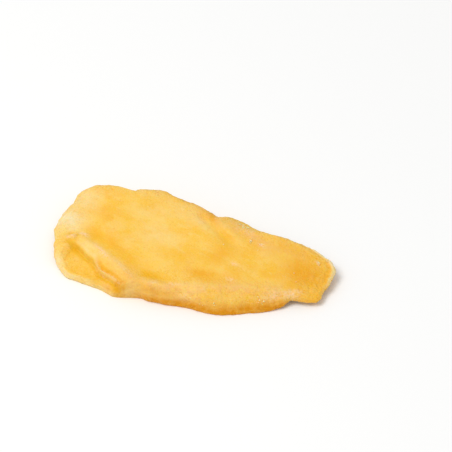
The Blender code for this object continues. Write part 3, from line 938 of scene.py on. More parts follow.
@dataclass(frozen=True)
class SliceForm:
    """Shape of the whole slice on the unit disc."""

    rim: Rim = Rim()
    crown: Crown = Crown()
    pleat: Pleat = Pleat()
    body_thickness: float = 4.4 * MM
    thickness_at_tip: float = 3.0 * MM
    thins_over: Span = (18.0 * MM, 56.0 * MM)
    flap_thickness: float = 3.0 * MM
    flap_begins_over: float = 0.15
    flap_thins_over: float = 3.5 * MM
    middle: tuple[float, float] = (-1.7 * MM, 0.86 * MM)
    folds: tuple[Fold, ...] = FOLDS
    dents: tuple[Dent, ...] = DENTS
    crinkles: tuple[Crinkle, ...] = CRINKLES

    def height(self, x: Array, y: Array, skin: Skin) -> Array:
        """Height of one skin before the rims roll down.

        Args:
            x: Places along the slice, in metres.
            y: Places across it.
            skin: The face.

        Returns:
            Heights in metres.
        """
        crown = self.crown.height(x, y)
        fall = self.pleat.fall(x, y, skin)
        if skin is Skin.OUTER:
            total = crown + self.pleat.relief(x, y) + self.pleat.fine_relief(x, y) - fall
            x = x - self.middle[0]
            y = y - self.middle[1]
            total = total + sum(fold.relief(x, y) for fold in self.folds + self.crinkles)
            return total - sum(dent.depth * dent.patch.cover(x, y) for dent in self.dents)
        share, aside = self.pleat.frame(x, y)
        beside = 1.0 - smoothstep(-self.flap_thins_over, self.flap_thins_over, aside)
        on_flap = smoothstep(0.0, self.flap_begins_over, share) * beside
        thickness = blend(self.body_thickness, self.thickness_at_tip, smoothstep(*self.thins_over, x))
        return crown - fall - blend(thickness, self.flap_thickness, on_flap)

    def skin(self, across: Array, deep: Array, skin: Skin, leaning: bool = True) -> Array:
        """Points of one skin, with its rims rolled down.

        Args:
            across: Places on the unit disc along X.
            deep: Places on the unit disc along Y.
            skin: The face.
            leaning: Whether the pleat's edge leans over the folded corner.

        Returns:
            Points in metres.
        """
        rim = self.rim
        radius = np.hypot(across, deep)
        angle = np.arctan2(deep, across)
        bearing = np.degrees(angle) % 360.0
        rim_x, rim_y, rim_reach = rim.edge(angle)
        edge = rim.around(bearing, "height")
        roll = rim.around(bearing, "roll")
        turn = np.radians(rim.around(bearing, "turn"))
        share = rim.roll_share_per_width * roll / rim_reach
        share = np.clip(share, rim.roll_share_least, rim.roll_share_most)
        end = rim_reach
        if skin is Skin.INNER:
            edge = edge - rim.thickness_at(bearing) * np.cos(turn)
            tighter = roll - rim.inner_roll_tighter * self.body_thickness
            roll = np.maximum(tighter, rim.inner_roll_least * roll)
            end = rim_reach - rim.thickness_at(bearing) * np.sin(turn)

        flat = np.clip(radius / (1.0 - share), 0.0, 1.0)
        rolled = np.clip((radius - 1.0 + share) / share, 0.0, 1.0) * turn
        out = (end - roll) * flat + roll * np.sin(rolled) / np.sin(turn)
        fallen = (1.0 - np.cos(rolled)) / (1.0 - np.cos(turn))
        pucker = rim.puckers(bearing) * np.sin(math.pi * rolled / turn) ** 2

        x = (out - pucker * np.sin(rolled)) * rim_x / rim_reach
        y = (out - pucker * np.sin(rolled)) * rim_y / rim_reach
        z = edge + (self.height(x, y, skin) - edge) * (1.0 - fallen)
        lip = rim.around(bearing, "lip") * hump(rim_reach - out - rim.lip_inset, rim.lip_width)
        z = z + lip * (1.0 if skin is Skin.OUTER else rim.lip_underside_share) - pucker * np.cos(rolled)
        points = np.stack([x, y, z], axis=-1)
        if skin is Skin.OUTER and leaning:
            points[..., :2] += self.pleat.lean(x, y) * (1.0 - fallen)[..., None]
        return points

    def inset(self, points: Array) -> tuple[Array, Array]:
        """How far in from the rim the points lie in plan, and their bearings.

        Args:
            points: Points in metres, before they are centred.

        Returns:
            Distances in metres, and bearings in degrees from -180 to 180.
        """
        x, y = points[..., 0], points[..., 1]
        angle = np.arctan2(y / self.rim.half_depth, x / self.rim.half_length)
        _, _, rim_reach = self.rim.edge(angle)
        return rim_reach - np.hypot(x, y), np.degrees(angle)

    def sheet(self, across: Array, deep: Array) -> tuple[Array, Array]:
        """Points of both skins, meeting in a rounded edge.

        Args:
            across: Places on the unit disc along X.
            deep: Places on the unit disc along Y.

        Returns:
            Points of the outer skin and of the inner skin.
        """
        radius = np.hypot(across, deep)
        round_from = 1.0 - 0.5 * self.rim.thickness / self.rim.half_depth
        share = np.clip((radius - round_from) / (1.0 - round_from), 0.0, 1.0)
        quarter_turn = 0.5 * math.pi * share
        rounded = np.where(share > 0.0, round_from + (1.0 - round_from) * np.sin(quarter_turn), radius)
        scale = rounded / np.maximum(radius, 1e-9)
        outer = self.skin(across * scale, deep * scale, Skin.OUTER)
        inner = self.skin(across * scale, deep * scale, Skin.INNER)
        middle = (outer + inner) / 2.0
        open_share = np.cos(quarter_turn)[..., None]
        return blend(middle, outer, open_share), blend(middle, inner, open_share)


@dataclass(frozen=True)
class Weave:
    """Rows of cells that the sheet is meshed in; one row lies along the crease."""

    form: SliceForm = SliceForm()
    cells: int = 216
    rows_face: float = 218.0
    crease_cells: int = 39
    crease_search: Span = (-0.88, -0.5)
    crease_halvings: int = 24
    gather: float = 0.55
    gather_reach: float = 0.22

    def on_disc(self, along: Array, over: Array) -> tuple[Array, Array]:
        """Map the square sheet onto the unit disc, turned to face the folded corner.

        Args:
            along: Places along the rows, from -1 to 1.
            over: Places over the rows, from -1 to 1.

        Returns:
            Places along X and along Y.
        """
        u = along * np.sqrt(1.0 - over * over / 2.0)
        v = over * np.sqrt(1.0 - along * along / 2.0)
        turn = math.radians(self.rows_face - 270.0)
        return u * math.cos(turn) - v * math.sin(turn), u * math.sin(turn) + v * math.cos(turn)

    def crease_place(self, along: Array) -> Array:
        """Find by halving where the crease crosses each column.

        Args:
            along: Places of the columns along the rows.

        Returns:
            Places over the rows.
        """
        low = np.full_like(along, self.crease_search[0])
        high = np.full_like(along, self.crease_search[1])
        for _ in range(self.crease_halvings):
            middle = (low + high) / 2.0
            points = self.form.skin(*self.on_disc(along, middle), Skin.OUTER, False)
            _, aside = self.form.pleat.frame(points[..., 0], points[..., 1])
            low = np.where(aside > 0.0, low, middle)
            high = np.where(aside > 0.0, middle, high)
        return (low + high) / 2.0

    def places(self) -> tuple[Array, Array]:
        """Places of the cells' corners on the unit disc.

        Returns:
            Places along X and along Y, each a square table.
        """
        steps = np.linspace(-1.0, 1.0, self.cells + 1)
        row, along = np.meshgrid(steps, steps, indexing="ij")
        crease = self.crease_place(steps)[None, :]
        crease_row = steps[self.crease_cells]
        near = hump(row - crease_row, self.gather_reach)
        on_body = row + near * (crease - crease_row - self.gather * (row - crease_row))
        on_flap = (crease + 1.0) * (row + 1.0) / (crease_row + 1.0) - 1.0
        return self.on_disc(along, np.where(row < crease_row, on_flap, on_body))


def grid_normals(points: Array) -> Array:
    """Unit normals of a square table of points, facing up where the table lies face up."""
    normals = np.cross(np.gradient(points, axis=1), np.gradient(points, axis=0))
    return normals / np.maximum(np.linalg.norm(normals, axis=-1, keepdims=True), 1e-12)


def blurred(table: Array, rounds: int) -> Array:
    """Table smoothed by taking the mean of each value and its neighbours.

    Args:
        table: A square table of numbers.
        rounds: How many times it is smoothed.

    Returns:
        The smoothed table.
    """
    for _ in range(rounds):
        wide = np.pad(table, 1, mode="edge")
        table = (wide[:-2, 1:-1] + wide[2:, 1:-1] + wide[1:-1, :-2] + wide[1:-1, 2:] + 2.0 * table) / 6.0
    return table


def add_node(
    tree: bpy.types.NodeTree,
    kind: str,
    settings: dict[str, object] | None = None,
    values: dict[str | int, object] | None = None,
    links: dict[str | int, Socket] | None = None,
) -> bpy.types.Node:
    """Add a node to a tree.

    Args:
        tree: The tree.
        kind: The node's type.
        settings: Properties of the node and their values.
        values: Unlinked inputs, by name or number, and their values.
        links: Linked inputs, by name or number, and the sockets that feed them.

    Returns:
        The node.
    """
    node = tree.nodes.new(kind)
    for name, value in (settings or {}).items():
        setattr(node, name, value)
    set_inputs(node, values or {})
    for name, socket in (links or {}).items():
        tree.links.new(socket, node.inputs[name])
    return node


def new_material(name: str) -> tuple[bpy.types.Material, bpy.types.NodeTree, bpy.types.Node]:
    """Make a material with one principled shader.

    Args:
        name: Its name.

    Returns:
        The material, its tree and its shader.
    """
    material = bpy.data.materials.new(name)
    material.use_nodes = True
    return material, material.node_tree, material.node_tree.nodes["Principled BSDF"]


def set_inputs(node: bpy.types.Node, values: dict[str | int, object]) -> None:
    """Give a node's unlinked inputs their values, by name or number."""
    for name, value in values.items():
        node.inputs[name].default_value = value


MIX_FACTOR, MIX_FIRST, MIX_SECOND, MIX_RESULT = 0, 6, 7, 2
EVENLY = (1.0, 1.0)


@dataclass(frozen=True)
class DriedMangoFlesh:
    """Ripe mango, cut with a knife and dried in warm air until leathery.

    The sugar that came out as it dried leaves a matt, creamy bloom on what stands proud, while hollows and
    thick places stay golden and clear, so light goes a little way into them. The colours also hold painted
    light: proud places, the fold's pinch and its ridge are painted lighter, partly as painted highlight,
    and hollows, grooves, the fold's crease, the low front band and the rear edge are painted darker as
    painted shade.
    """

    body: str = "#f8c13b"
    body_pale: str = "#facb5b"
    clear_gold: str = "#f5ae2a"
    rosy: str = "#f9c46e"
    cream: str = "#f6e0a8"
    # Golden flesh, and painted shade in dents, troughs, the fold's groove and the tip's furrow.
    gold: str = "#f0a616"
    # Clear flesh, and painted shade in hollows and in the pit under the pinch.
    honey: str = "#f2b41a"
    salmon: str = "#f5b863"
    # Sugar bloom, and a painted highlight at the pinch, along the fold's ridge and at a glint.
    bloom: str = "#fdd3a0"
    shade: str = "#e8b31a"
    # Painted shade: the low front band, the rear edge and the end of the fold's crease.
    deep: str = "#e3960c"
    pore: str = "#e39b22"
    dust: str = "#fddaa6"
    speckle: str = "#fdd684"
    ior: float = 1.45
    gloss: float = 0.2
    roughness_range: Span = (0.42, 0.6)
    mottle_clears: Span = (0.35, 0.65)
    scatter_weight: float = 0.2
    scatter_depth: float = 2.5 * MM
    scatter_radius: tuple[float, float, float] = (1.0, 0.5, 0.16)
    cloud_size: float = 9.0 * MM
    pool_size: float = 14.0 * MM
    blush_size: float = 6.0 * MM
    mottle_size: float = 2.4 * MM
    fibre_width: float = 1.1 * MM
    fibre_stretch: float = 3.5
    fibre_heading: float = -18.0
    pore_size: float = 0.8 * MM
    pore_strength: Span = (0.3, 0.65)
    speckle_strength: Span = (0.2, 0.35)
    grain_strength: Span = (0.35, 1.0)
    dust_size: float = 0.6 * MM
    grain_depth: float = 0.42 * MM
    fibre_depth: float = 0.05 * MM

    def noises(self, tree: bpy.types.NodeTree) -> dict[str, Socket]:
        """Add the noises that the flesh's colours and relief follow.

        Args:
            tree: The material's tree.

        Returns:
            The noises by name.
        """
        place = add_node(tree, "ShaderNodeTexCoord").outputs["Object"]
        grown = {"Rotation": (0, 0, math.radians(self.fibre_heading)), "Scale": (self.fibre_stretch, 1, 1)}
        fibres = add_node(tree, "ShaderNodeMapping", {"vector_type": "TEXTURE"}, grown, {"Vector": place})
        return {
            name: add_node(
                tree,
                "ShaderNodeTexNoise",
                None,
                {"Scale": 1.0 / size, "Detail": detail, "Distortion": distortion},
                {"Vector": vector},
            ).outputs["Fac"]
            for name, size, detail, distortion, vector in (
                ("cloud", self.cloud_size, 3.0, 0.3, place),
                ("pool", self.pool_size, 3.0, 0.5, place),
                ("blush", self.blush_size, 3.0, 0.3, place),
                ("mottle", self.mottle_size, 3.0, 0.4, place),
                ("fibre", self.fibre_width, 2.0, 0.8, fibres.outputs["Vector"]),
                ("grain", self.pore_size, 2.0, 0.0, place),
                ("dust", self.dust_size, 1.0, 0.0, place),
            )
        }

    def covers(self, tree: bpy.types.NodeTree) -> dict[str, Socket]:
        """Add each tone's share of the flesh, and the strengths of its pores, specks and grain.

        Args:
            tree: The material's tree.

        Returns:
            The shares and strengths by name.
        """
        found = {
            name: add_node(tree, "ShaderNodeAttribute", {"attribute_name": name}).outputs["Fac"]
            for name in (COARSE_LAYER, *(tone.value for tone in Tone))
        }
        for name, (at_middle, at_rim) in (
            ("even", EVENLY),
            ("pores", self.pore_strength),
            ("specks", self.speckle_strength),
            ("rough", self.grain_strength),
        ):
            found[name] = add_node(
                tree,
                "ShaderNodeMapRange",
                None,
                {"To Min": at_middle, "To Max": at_rim},
                {"Value": found[COARSE_LAYER]},
            ).outputs["Result"]
        return found

    def colour(
        self, tree: bpy.types.NodeTree, noises: dict[str, Socket], covers: dict[str, Socket]
    ) -> Socket:
        """Lay the flesh's colours over each other, each broken up by a noise.

        Args:
            tree: The material's tree.
            noises: The noises by name.
            covers: The shares that they are laid on with, by name.

        Returns:
            The mixed colour.
        """
        colour = add_node(tree, "ShaderNodeRGB").outputs["Color"]
        colour.default_value = linear(self.body)
        for cover, noise, low, high, least, most, code in (
            ("even", "cloud", 0.35, 0.65, 0.0, 1.0, self.body_pale),
            ("even", "pool", 0.52, 0.70, 0.0, 0.35, self.clear_gold),
            ("even", "blush", 0.52, 0.72, 0.0, 0.35, self.rosy),
            ("even", "mottle", 0.42, 0.66, 0.0, 0.30, self.body_pale),
            ("even", "fibre", 0.52, 0.72, 0.0, 0.13, self.cream),
            ("pores", "grain", 0.42, 0.28, 0.0, 1.0, self.pore),
            ("specks", "dust", 0.50, 0.64, 0.0, 1.0, self.speckle),
            ("salmon", "mottle", 0.36, 0.62, 0.2, 1.3, self.salmon),
            # Gold and honey are laid on partly as painted shade, shade and deep as painted shade, and cream
            # and bloom partly as painted highlight.
            ("gold", "mottle", 0.30, 0.65, 0.65, 1.1, self.gold),
            ("honey", "mottle", 0.30, 0.65, 0.65, 1.1, self.honey),
            ("cream", "mottle", 0.30, 0.65, 0.7, 1.1, self.cream),
            ("shade", "mottle", 0.30, 0.65, 0.8, 1.1, self.shade),
            ("deep", "mottle", 0.30, 0.65, 0.75, 1.1, self.deep),
            ("bloom", "grain", 0.38, 0.60, 0.1, 1.3, self.bloom),
            ("bloom", "dust", 0.58, 0.68, 0.0, 0.4, self.dust),
        ):
            broken = add_node(
                tree,
                "ShaderNodeMapRange",
                {"interpolation_type": "SMOOTHSTEP"},
                {"From Min": low, "From Max": high, "To Min": least, "To Max": most},
                {"Value": noises[noise]},
            ).outputs["Result"]
            share = add_node(
                tree,
                "ShaderNodeMath",
                {"operation": "MULTIPLY", "use_clamp": True},
                None,
                {0: covers[cover], 1: broken},
            ).outputs[0]
            colour = add_node(
                tree,
                "ShaderNodeMix",
                {"data_type": "RGBA"},
                {MIX_SECOND: linear(code)},
                {MIX_FACTOR: share, MIX_FIRST: colour},
            ).outputs[MIX_RESULT]
        return colour

    def material(self) -> bpy.types.Material:
        """Build the flesh's material.

        Returns:
            The material.
        """
        material, tree, shader = new_material("Mango flesh, sliced and air dried")
        noises = self.noises(tree)
        covers = self.covers(tree)
        low, high = self.mottle_clears
        least, most = self.roughness_range
        dusty = add_node(
            tree,
            "ShaderNodeMapRange",
            {"interpolation_type": "SMOOTHSTEP"},
            {"From Min": low, "From Max": high, "To Min": least, "To Max": most},
            {"Value": noises["mottle"]},
        ).outputs["Result"]
        grained = add_node(
            tree,
            "ShaderNodeBump",
            None,
            {"Distance": self.grain_depth},
            {"Height": noises["grain"], "Strength": covers["rough"]},
        ).outputs["Normal"]
        ribbed = add_node(
            tree,
            "ShaderNodeBump",
            None,
            {"Distance": self.fibre_depth, "Strength": 1.0},
            {"Height": noises["fibre"], "Normal": grained},
        ).outputs["Normal"]
        tree.links.new(self.colour(tree, noises, covers), shader.inputs["Base Color"])
        tree.links.new(dusty, shader.inputs["Roughness"])
        tree.links.new(ribbed, shader.inputs["Normal"])
        set_inputs(
            shader,
            {
                "IOR": self.ior,
                "Specular IOR Level": self.gloss,
                "Subsurface Weight": self.scatter_weight,
                "Subsurface Scale": self.scatter_depth,
                "Subsurface Radius": self.scatter_radius,
            },
        )
        return material


@dataclass(frozen=True)
class SugarCrystal:
    """Mango sugar that came out as clear grains while the slice dried: bright, sharp sparks."""

    colour: str = "#ffeec4"
    colour_clear: str = "#ffdf9a"
    ior: float = 1.49
    roughness: float = 0.25
    scatter_weight: float = 0.5
    scatter_depth: float = 0.5 * MM
    mottle_size: float = 0.5 * MM

    def material(self) -> bpy.types.Material:
        """Build the sugar's material.

        Returns:
            The material.
        """
        material, tree, shader = new_material("Fruit sugar, crystallised on the flesh")
        place = add_node(tree, "ShaderNodeTexCoord").outputs["Object"]
        mottle = add_node(
            tree, "ShaderNodeTexNoise", None, {"Scale": 1.0 / self.mottle_size}, {"Vector": place}
        ).outputs["Fac"]
        colour = add_node(
            tree,
            "ShaderNodeMix",
            {"data_type": "RGBA"},
            {MIX_FIRST: linear(self.colour_clear), MIX_SECOND: linear(self.colour)},
            {MIX_FACTOR: mottle},
        ).outputs[MIX_RESULT]
        tree.links.new(colour, shader.inputs["Base Color"])
        set_inputs(
            shader,
            {
                "IOR": self.ior,
                "Roughness": self.roughness,
                "Subsurface Weight": self.scatter_weight,
                "Subsurface Scale": self.scatter_depth,
            },
        )
        return material


def put_in_scene(name: str, data: bpy.types.ID) -> bpy.types.Object:
    """Make an object and link it to the scene.

    Args:
        name: Name of the object.
        data: Its mesh, light or camera.

    Returns:
        The object.
    """
    made = bpy.data.objects.new(name, data)
    bpy.context.scene.collection.objects.link(made)
    return made


def mesh_object(name: str, points: Array, faces: list[tuple[int, ...]]) -> bpy.types.Object:
    """Make an object of points and faces.

    Args:
        name: Name of the object and its mesh.
        points: Points in metres.
        faces: Faces as numbers of points.

    Returns:
        The object, linked to the scene.
    """
    mesh = bpy.data.meshes.new(name)
    mesh.from_pydata(points.tolist(), [], faces)
    mesh.update()
    return put_in_scene(name, mesh)


@dataclass
class MangoSlice:
    """The slice: a closed sheet of flesh with two skins and a rounded edge."""

    form: SliceForm = SliceForm()
    weave: Weave = Weave()
    flesh: DriedMangoFlesh = DriedMangoFlesh()
    marks: tuple[Mark, ...] = MARKS
    outer_wrinkles: Wrinkling = Wrinkling(
        swell=0.16 * MM,
        swell_spacing=9.0 * MM,
        wrinkle=0.12 * MM,
        wrinkle_spacing=3.4 * MM,
        wrinkle_stretch=2.4,
        wrinkle_heading=-16.0,
        grain=0.07 * MM,
        grain_spacing=1.1 * MM,
        seed=11,
    )
    inner_wrinkles: Wrinkling = Wrinkling(
        swell=0.25 * MM,
        swell_spacing=7.0 * MM,
        wrinkle=0.24 * MM,
        wrinkle_spacing=2.6 * MM,
        wrinkle_stretch=4.0,
        wrinkle_heading=-8.0,
        grain=0.05 * MM,
        grain_spacing=1.2 * MM,
        seed=31,
    )
    relief_fades_from: float = 0.955
    rough_rim: Span = (4.0 * MM, 14.0 * MM)
    coarse_rim: Span = (6.0 * MM, 20.0 * MM)
    smooth_share: float = 0.6
    rough_share: float = 2.3
    raised_rounds: int = 60
    raised_full: float = 0.30 * MM
    # Painted shade on the low front band: full below the first height, gone above the second, and only
    # towards the front, away from the left corner.
    low_shade_full: float = 2.0 * MM
    low_shade_from: float = 6.2 * MM
    low_shade_left: Span = (-26.0 * MM, -8.0 * MM)
    low_shade_front: Span = (10.0 * MM, 20.0 * MM)
    wander: float = 1.6 * MM
    wander_share: float = 0.4
    wander_size: float = 5.0 * MM
    edge_width: float = 1.5 * MM
    edge_cream: float = 0.23
    edge_honey: float = 0.7
    pale_edges: tuple[PaleEdge, ...] = PALE_EDGES
    golden_edge: PaleEdge = PaleEdge(-18.0, 16.0, 1.0, 2.6 * MM)
    # Proud places painted creamier: sugar bloom, and partly a painted highlight.
    raised_cream_and_highlight: float = 0.17
    # Hollows painted golden: clear flesh, and partly painted shade.
    sunken_honey_and_shade: float = 0.5
    bloom_lost: float = 0.7
    tip_lip: Strip = Strip(0.7 * MM, 0.7 * MM, 0.3 * MM)
    tip_furrow: Strip = Strip(2.6 * MM, 0.9 * MM, 1.0)
    tip_furrow_depth: float = 0.1 * MM
    # Painted shade in the furrow inside the tip's lip.
    tip_furrow_shade: float = 0.65
    tip_from: Span = (-24.0, -6.0)
    tip_to: Span = (36.0, 60.0)
    underside_gold: float = 0.45
    sway_seeds: tuple[int, int] = (71, 72)
    outer_points: Array = field(init=False, repr=False)
    outer_normals: Array = field(init=False, repr=False)

    def build(self) -> bpy.types.Object:
        """Build the slice's mesh and dress it, and keep its outer skin for what lies on it.

        Returns:
            The slice.
        """
        across, deep = self.weave.places()
        outer, inner = self.form.sheet(across, deep)
        inset, bearing = self.form.inset(outer)
        tip = between(self.tip_from, self.tip_to, bearing)
        furrow = tip * self.tip_furrow.cover(inset)
        outer[..., 2] += tip * self.tip_lip.cover(inset) - self.tip_furrow_depth * furrow
        fade = 1.0 - smoothstep(self.relief_fades_from, 1.0, np.hypot(across, deep))
        rough = blend(self.rough_share, self.smooth_share, smoothstep(*self.rough_rim, inset))
        outer = outer + grid_normals(outer) * (self.outer_wrinkles.relief(outer) * rough * fade)[..., None]
        inner = inner - grid_normals(inner) * (self.inner_wrinkles.relief(inner) * fade)[..., None]
        outer, inner = self.fit(outer, inner)
        self.outer_points = outer
        self.outer_normals = grid_normals(outer)
        made = mesh_object("mango_slice_flesh", *self.closed(outer, inner))
        made.data.shade_smooth()
        layers = self.covers(outer, inner, inset, bearing, furrow)
        layers[COARSE_LAYER] = (1.0 - smoothstep(*self.coarse_rim, inset), np.ones(inner.shape[:2]))
        for name, (above, below) in layers.items():
            values = np.concatenate([above.ravel(), below[1:-1, 1:-1].ravel()])
            layer = made.data.attributes.new(name, "FLOAT", "POINT")
            layer.data.foreach_set("value", values.astype(np.float32))
        made.data.materials.append(self.flesh.material())
        return made

    def fit(self, outer: Array, inner: Array) -> tuple[Array, Array]:
        """Bring the sheet to the solid part's box; the wrinkles have changed its size by a hair.

        Args:
            outer: Points of the outer skin.
            inner: Points of the inner skin.

        Returns:
            The points of both skins, fitted.
        """
        low, high = (np.array(corner) for corner in CAD_BOX)
        both = np.concatenate([outer.reshape(-1, 3), inner.reshape(-1, 3)])
        both[:, 2] = np.maximum(both[:, 2], 0.0)
        have_low, have_high = both.min(axis=0), both.max(axis=0)
        scale = (high - low) / (have_high - have_low)
        LOG.info("fitting scale %s", np.round(scale, 4))
        fitted = []
        for skin in (outer, inner):
            skin = skin.copy()
            skin[..., 2] = np.maximum(skin[..., 2], 0.0)
            fitted.append(low + (skin - have_low) * scale)
        return fitted[0], fitted[1]

    def closed(self, outer: Array, inner: Array) -> tuple[Array, list[tuple[int, ...]]]:
        """Join both skins along the edge, which they share.

        Args:
            outer: Points of the outer skin.
            inner: Points of the inner skin.

        Returns:
            All points, the outer skin's first, and all faces.
        """
        count = outer.shape[0]
        numbers = np.arange(count * count).reshape(count, count)
        under = numbers.copy()
        under[1:-1, 1:-1] = count * count + np.arange((count - 2) ** 2).reshape(count - 2, count - 2)
        points = np.concatenate([outer.reshape(-1, 3), inner[1:-1, 1:-1].reshape(-1, 3)])
        above = np.stack([numbers[:-1, :-1], numbers[:-1, 1:], numbers[1:, 1:], numbers[1:, :-1]], -1)
        below = np.stack([under[:-1, :-1], under[1:, :-1], under[1:, 1:], under[:-1, 1:]], -1)
        faces = np.concatenate([above.reshape(-1, 4), below.reshape(-1, 4)])
        return points, [tuple(face) for face in faces.tolist()]

    def raised(self, outer: Array) -> Array:
        """How far each place of the outer skin stands proud of its surroundings, from -1 to 1."""
        heights = outer[..., 2]
        return np.clip((heights - blurred(heights, self.raised_rounds)) / self.raised_full, -1.0, 1.0)

    def marked(self, mark: Mark, outer: Array, sway: list[Array]) -> Array:
        """How far one mark covers the outer skin, with its outline swayed by less than its own width.

        Args:
            mark: The mark.
            outer: Points of the outer skin.
            sway: How far the outline sways along X and along Y at each point, from -1 to 1.

        Returns:
            Shares from 0 to 1.
        """
        reach = min(self.wander, self.wander_share * mark.patch.half_width)
        x, y = (outer[..., axis] + reach * sway[axis] for axis in range(2))
        return mark.strength * mark.patch.cover(x, y)

    def covers(
        self, outer: Array, inner: Array, inset: Array, bearing: Array, furrow: Array
    ) -> dict[str, tuple[Array, Array]]:
        """How far each tone covers both skins.

        Args:
            outer: Points of the outer skin.
            inner: Points of the inner skin.
            inset: How far in from the rim the outer skin's points lie.
            bearing: Their bearings in degrees.
            furrow: How far they lie in the furrow round the tip, from 0 to 1.

        Returns:
            For each tone's name, its cover of the outer and of the inner skin.
        """
        raised = self.raised(outer)
        sway = [Swellings(seed, self.wander_size).height(outer) for seed in self.sway_seeds]
        above = {
            tone: np.max([self.marked(mark, outer, sway) for mark in self.marks if mark.tone is tone], 0)
            for tone in Tone
        }
        golden = self.golden_edge.cover(inset, bearing)
        edge = self.edge_cream * hump(inset, self.edge_width) * (1.0 - golden)
        x, y = (outer[..., axis] + self.form.middle[axis] for axis in range(2))
        for tone, cover in self.form.pleat.tints(x, y).items():
            above[tone] = np.maximum(above[tone], cover)
        edge = np.max([edge] + [pale.cover(inset, bearing) for pale in self.pale_edges], 0)
        # Proud places are painted creamier, partly as painted highlight, and hollows golden, partly as
        # painted shade.
        proud = self.raised_cream_and_highlight * np.clip(raised, 0.0, 1.0)
        sunken_shade = self.sunken_honey_and_shade * np.clip(-raised, 0.0, 1.0)
        above[Tone.CREAM] = np.max([above[Tone.CREAM], edge, proud], 0)
        # The tip's furrow gets painted shade in gold, kept off the pale edges.
        above[Tone.GOLD_AND_SHADE] = np.maximum(above[Tone.GOLD_AND_SHADE], self.tip_furrow_shade * furrow) * (1.0 - edge)
        above[Tone.HONEY_AND_SHADE] = np.max([above[Tone.HONEY_AND_SHADE], sunken_shade, self.edge_honey * golden], 0) * (1.0 - edge)
        # Painted shade on the low front band: deep is laid on where the skin lies low, towards the front
        # and away from the left corner, and the bloom fades there.
        low = 1.0 - smoothstep(self.low_shade_full, self.low_shade_from, outer[..., 2])
        low = low * smoothstep(*self.low_shade_front, -outer[..., 1])
        low = low * smoothstep(*self.low_shade_left, outer[..., 0])
        above[Tone.DEEP_SHADE] = np.maximum(above[Tone.DEEP_SHADE], low)
        above[Tone.BLOOM] = above[Tone.BLOOM] * (1.0 - self.bloom_lost * low)
        bare = np.zeros(inner.shape[:2])
        below = {tone: bare for tone in Tone} | {Tone.GOLD_AND_SHADE: bare + self.underside_gold}
        return {tone.value: (above[tone], below[tone]) for tone in Tone}


@dataclass
class SugarGrains:
    """Small clear grains of sugar, their feet sunk in the flesh, in the few places where they came out."""

    crystal: SugarCrystal = SugarCrystal()
    least: float = 0.22 * MM
    most: float = 0.8 * MM
    sunk: float = 0.12
    corners: int = 9
    clear_of_box: float = 0.5 * MM
    seed: int = 5
    clusters: tuple[tuple[int, Patch], ...] = (
        (26, oval(17.8, 14.4, 2.4, 0.9, -20.0)),
        (14, oval(22.9, 6.9, 1.6, 0.7, -70.0)),
        (9, oval(27.5, 6.3, 1.4, 0.8)),
        (12, oval(52.0, 5.3, 1.2, 0.6, -52.0)),
        (6, oval(55.7, 7.9, 0.7, 0.5)),
        (12, oval(34.0, -20.6, 5.0, 1.4, 20.0)),
        (12, oval(10.0, -27.2, 9.0, 1.2)),
        (4, oval(-35.0, -26.8, 3.0, 0.8, -38.0)),
        (9, oval(30.0, 0.0, 24.0, 14.0)),
    )

    def build(self, slice_piece: MangoSlice) -> bpy.types.Object:
        """Scatter the grains over the slice's outer skin.

        Args:
            slice_piece: The slice that they lie on.

        Returns:
            The grains as one object.
        """
        chance = np.random.default_rng(self.seed)
        skin = slice_piece.outer_points.reshape(-1, 3)
        normals = slice_piece.outer_normals.reshape(-1, 3)
        grains = bmesh.new()
        low, high = (np.array(corner) for corner in CAD_BOX)
        inside = np.all((skin > low + self.clear_of_box) & (skin < high - self.clear_of_box), axis=1)
        for count, patch in self.clusters:
            cover = patch.cover(skin[:, 0], skin[:, 1]) ** 2 * inside
            for index in chance.choice(len(skin), size=count, replace=False, p=cover / cover.sum()):
                self.add_grain(grains, skin[index], normals[index], chance)
        mesh = bpy.data.meshes.new("sugar_grains")
        grains.to_mesh(mesh)
        grains.free()
        made = put_in_scene("sugar_grains", mesh)
        made.data.materials.append(self.crystal.material())
        return made

    def add_grain(
        self, grains: bmesh.types.BMesh, place: Array, normal: Array, chance: np.random.Generator
    ) -> None:
        """Add one faceted grain.

        Args:
            grains: The mesh that takes it.
            place: Its place on the skin.
            normal: The skin's normal there.
            chance: Source of chance.
        """
        size = self.least + (self.most - self.least) * chance.random() ** 2
        corners = chance.normal(size=(self.corners, 3))
        corners = corners / np.linalg.norm(corners, axis=1, keepdims=True) * size / 2.0
        middle = place + normal * size * (0.5 - self.sunk)
        verts = [grains.verts.new(middle + corner) for corner in corners]
        hull = bmesh.ops.convex_hull(grains, input=verts)
        loose = [item for item in hull["geom_interior"] if isinstance(item, bmesh.types.BMVert)]
        bmesh.ops.delete(grains, geom=loose, context="VERTS")


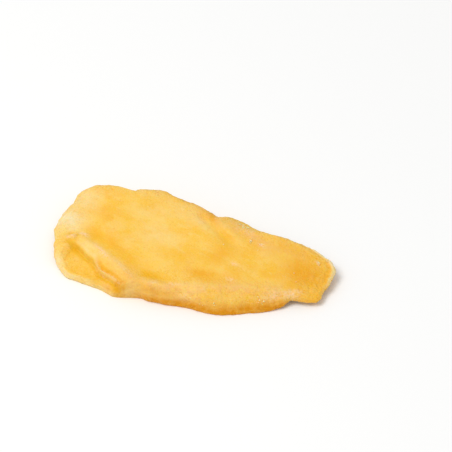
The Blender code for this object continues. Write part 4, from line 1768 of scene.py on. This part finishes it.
@dataclass
class Studio:
    """Pale floor, soft light from above and the left, and the camera at the photograph's angle."""

    azimuth: float = 15.0
    elevation: float = 44.0
    view_width: float = 187.6 * MM
    lens: float = 400.0
    sensor: float = 36.0
    aim_right: float = 13.53 * MM
    aim_up: float = 14.48 * MM
    floor_half_width: float = 3.0
    floor_colour: str = "#fbfbfa"
    floor_roughness: float = 0.9
    floor_gloss: float = 0.1
    sky_colour: str = "#ffffff"
    sky_strength: float = 0.62
    lamp_place: tuple[float, float, float] = (-0.58, -0.48, 1.48)
    lamp_size: float = 0.9
    lamp_power: float = 14.1
    nearest_seen: float = 0.01

    def build(self) -> None:
        """Set up the floor, the lights and the camera."""
        self.add_floor()
        self.add_sky()
        self.add_lamp()
        self.add_camera()

    def add_floor(self) -> None:
        """Add the floor: smooth white card, coated matt, so that it spreads the light without a gleam."""
        corners = self.floor_half_width * np.array([(-1, -1, 0), (1, -1, 0), (1, 1, 0), (-1, 1, 0)])
        floor = mesh_object("floor", corners, [(0, 1, 2, 3)])
        card, _, shader = new_material("White card, matt")
        set_inputs(
            shader,
            {
                "Base Color": linear(self.floor_colour),
                "Roughness": self.floor_roughness,
                "Specular IOR Level": self.floor_gloss,
            },
        )
        floor.data.materials.append(card)

    def add_sky(self) -> None:
        """Light the scene evenly from all sides with a little white light."""
        world = bpy.data.worlds.new("Studio")
        world.use_nodes = True
        background = world.node_tree.nodes["Background"]
        set_inputs(background, {"Color": linear(self.sky_colour), "Strength": self.sky_strength})
        bpy.context.scene.world = world

    def add_lamp(self) -> None:
        """Add the square soft light overhead, facing the slice."""
        lamp = bpy.data.lights.new("Overhead light", "AREA")
        lamp.size = self.lamp_size
        lamp.energy = self.lamp_power
        holder = put_in_scene("Overhead light", lamp)
        holder.location = self.lamp_place
        holder.rotation_euler = Vector(self.lamp_place).to_track_quat("Z", "Y").to_euler()
        holder.visible_camera = False

    def add_camera(self) -> None:
        """Add the camera, turned to the photograph's angle and set to its framing."""
        azimuth = math.radians(self.azimuth)
        elevation = math.radians(self.elevation)
        flat = math.cos(elevation)
        right = Vector((math.cos(azimuth), math.sin(azimuth), 0.0))
        back = Vector((math.sin(azimuth) * flat, -math.cos(azimuth) * flat, math.sin(elevation)))
        up = back.cross(right)
        distance = self.view_width * self.lens / self.sensor
        place = right * self.aim_right + up * self.aim_up + back * distance
        camera = put_in_scene("Camera", bpy.data.cameras.new("Camera"))
        camera.data.lens = self.lens
        camera.data.sensor_width = self.sensor
        camera.data.clip_start = self.nearest_seen
        camera.matrix_world = Matrix((right, up, back)).transposed().to_4x4()
        camera.matrix_world.translation = place
        bpy.context.scene.camera = camera


def main() -> None:
    """Build the studio, the slice and its sugar grains."""
    logging.basicConfig(level=logging.INFO)
    bpy.context.scene.view_settings.view_transform = "Standard"
    Studio().build()
    slice_piece = MangoSlice()
    flesh = slice_piece.build()
    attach(flesh, BODY)
    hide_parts(SOLID_NODE)
    LOG.info("%s: %d faces", flesh.name, len(flesh.data.polygons))
    grains = SugarGrains().build(slice_piece)
    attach(grains, BODY)
    LOG.info("%s: %d faces", grains.name, len(grains.data.polygons))


if __name__ == "__main__":
    main()
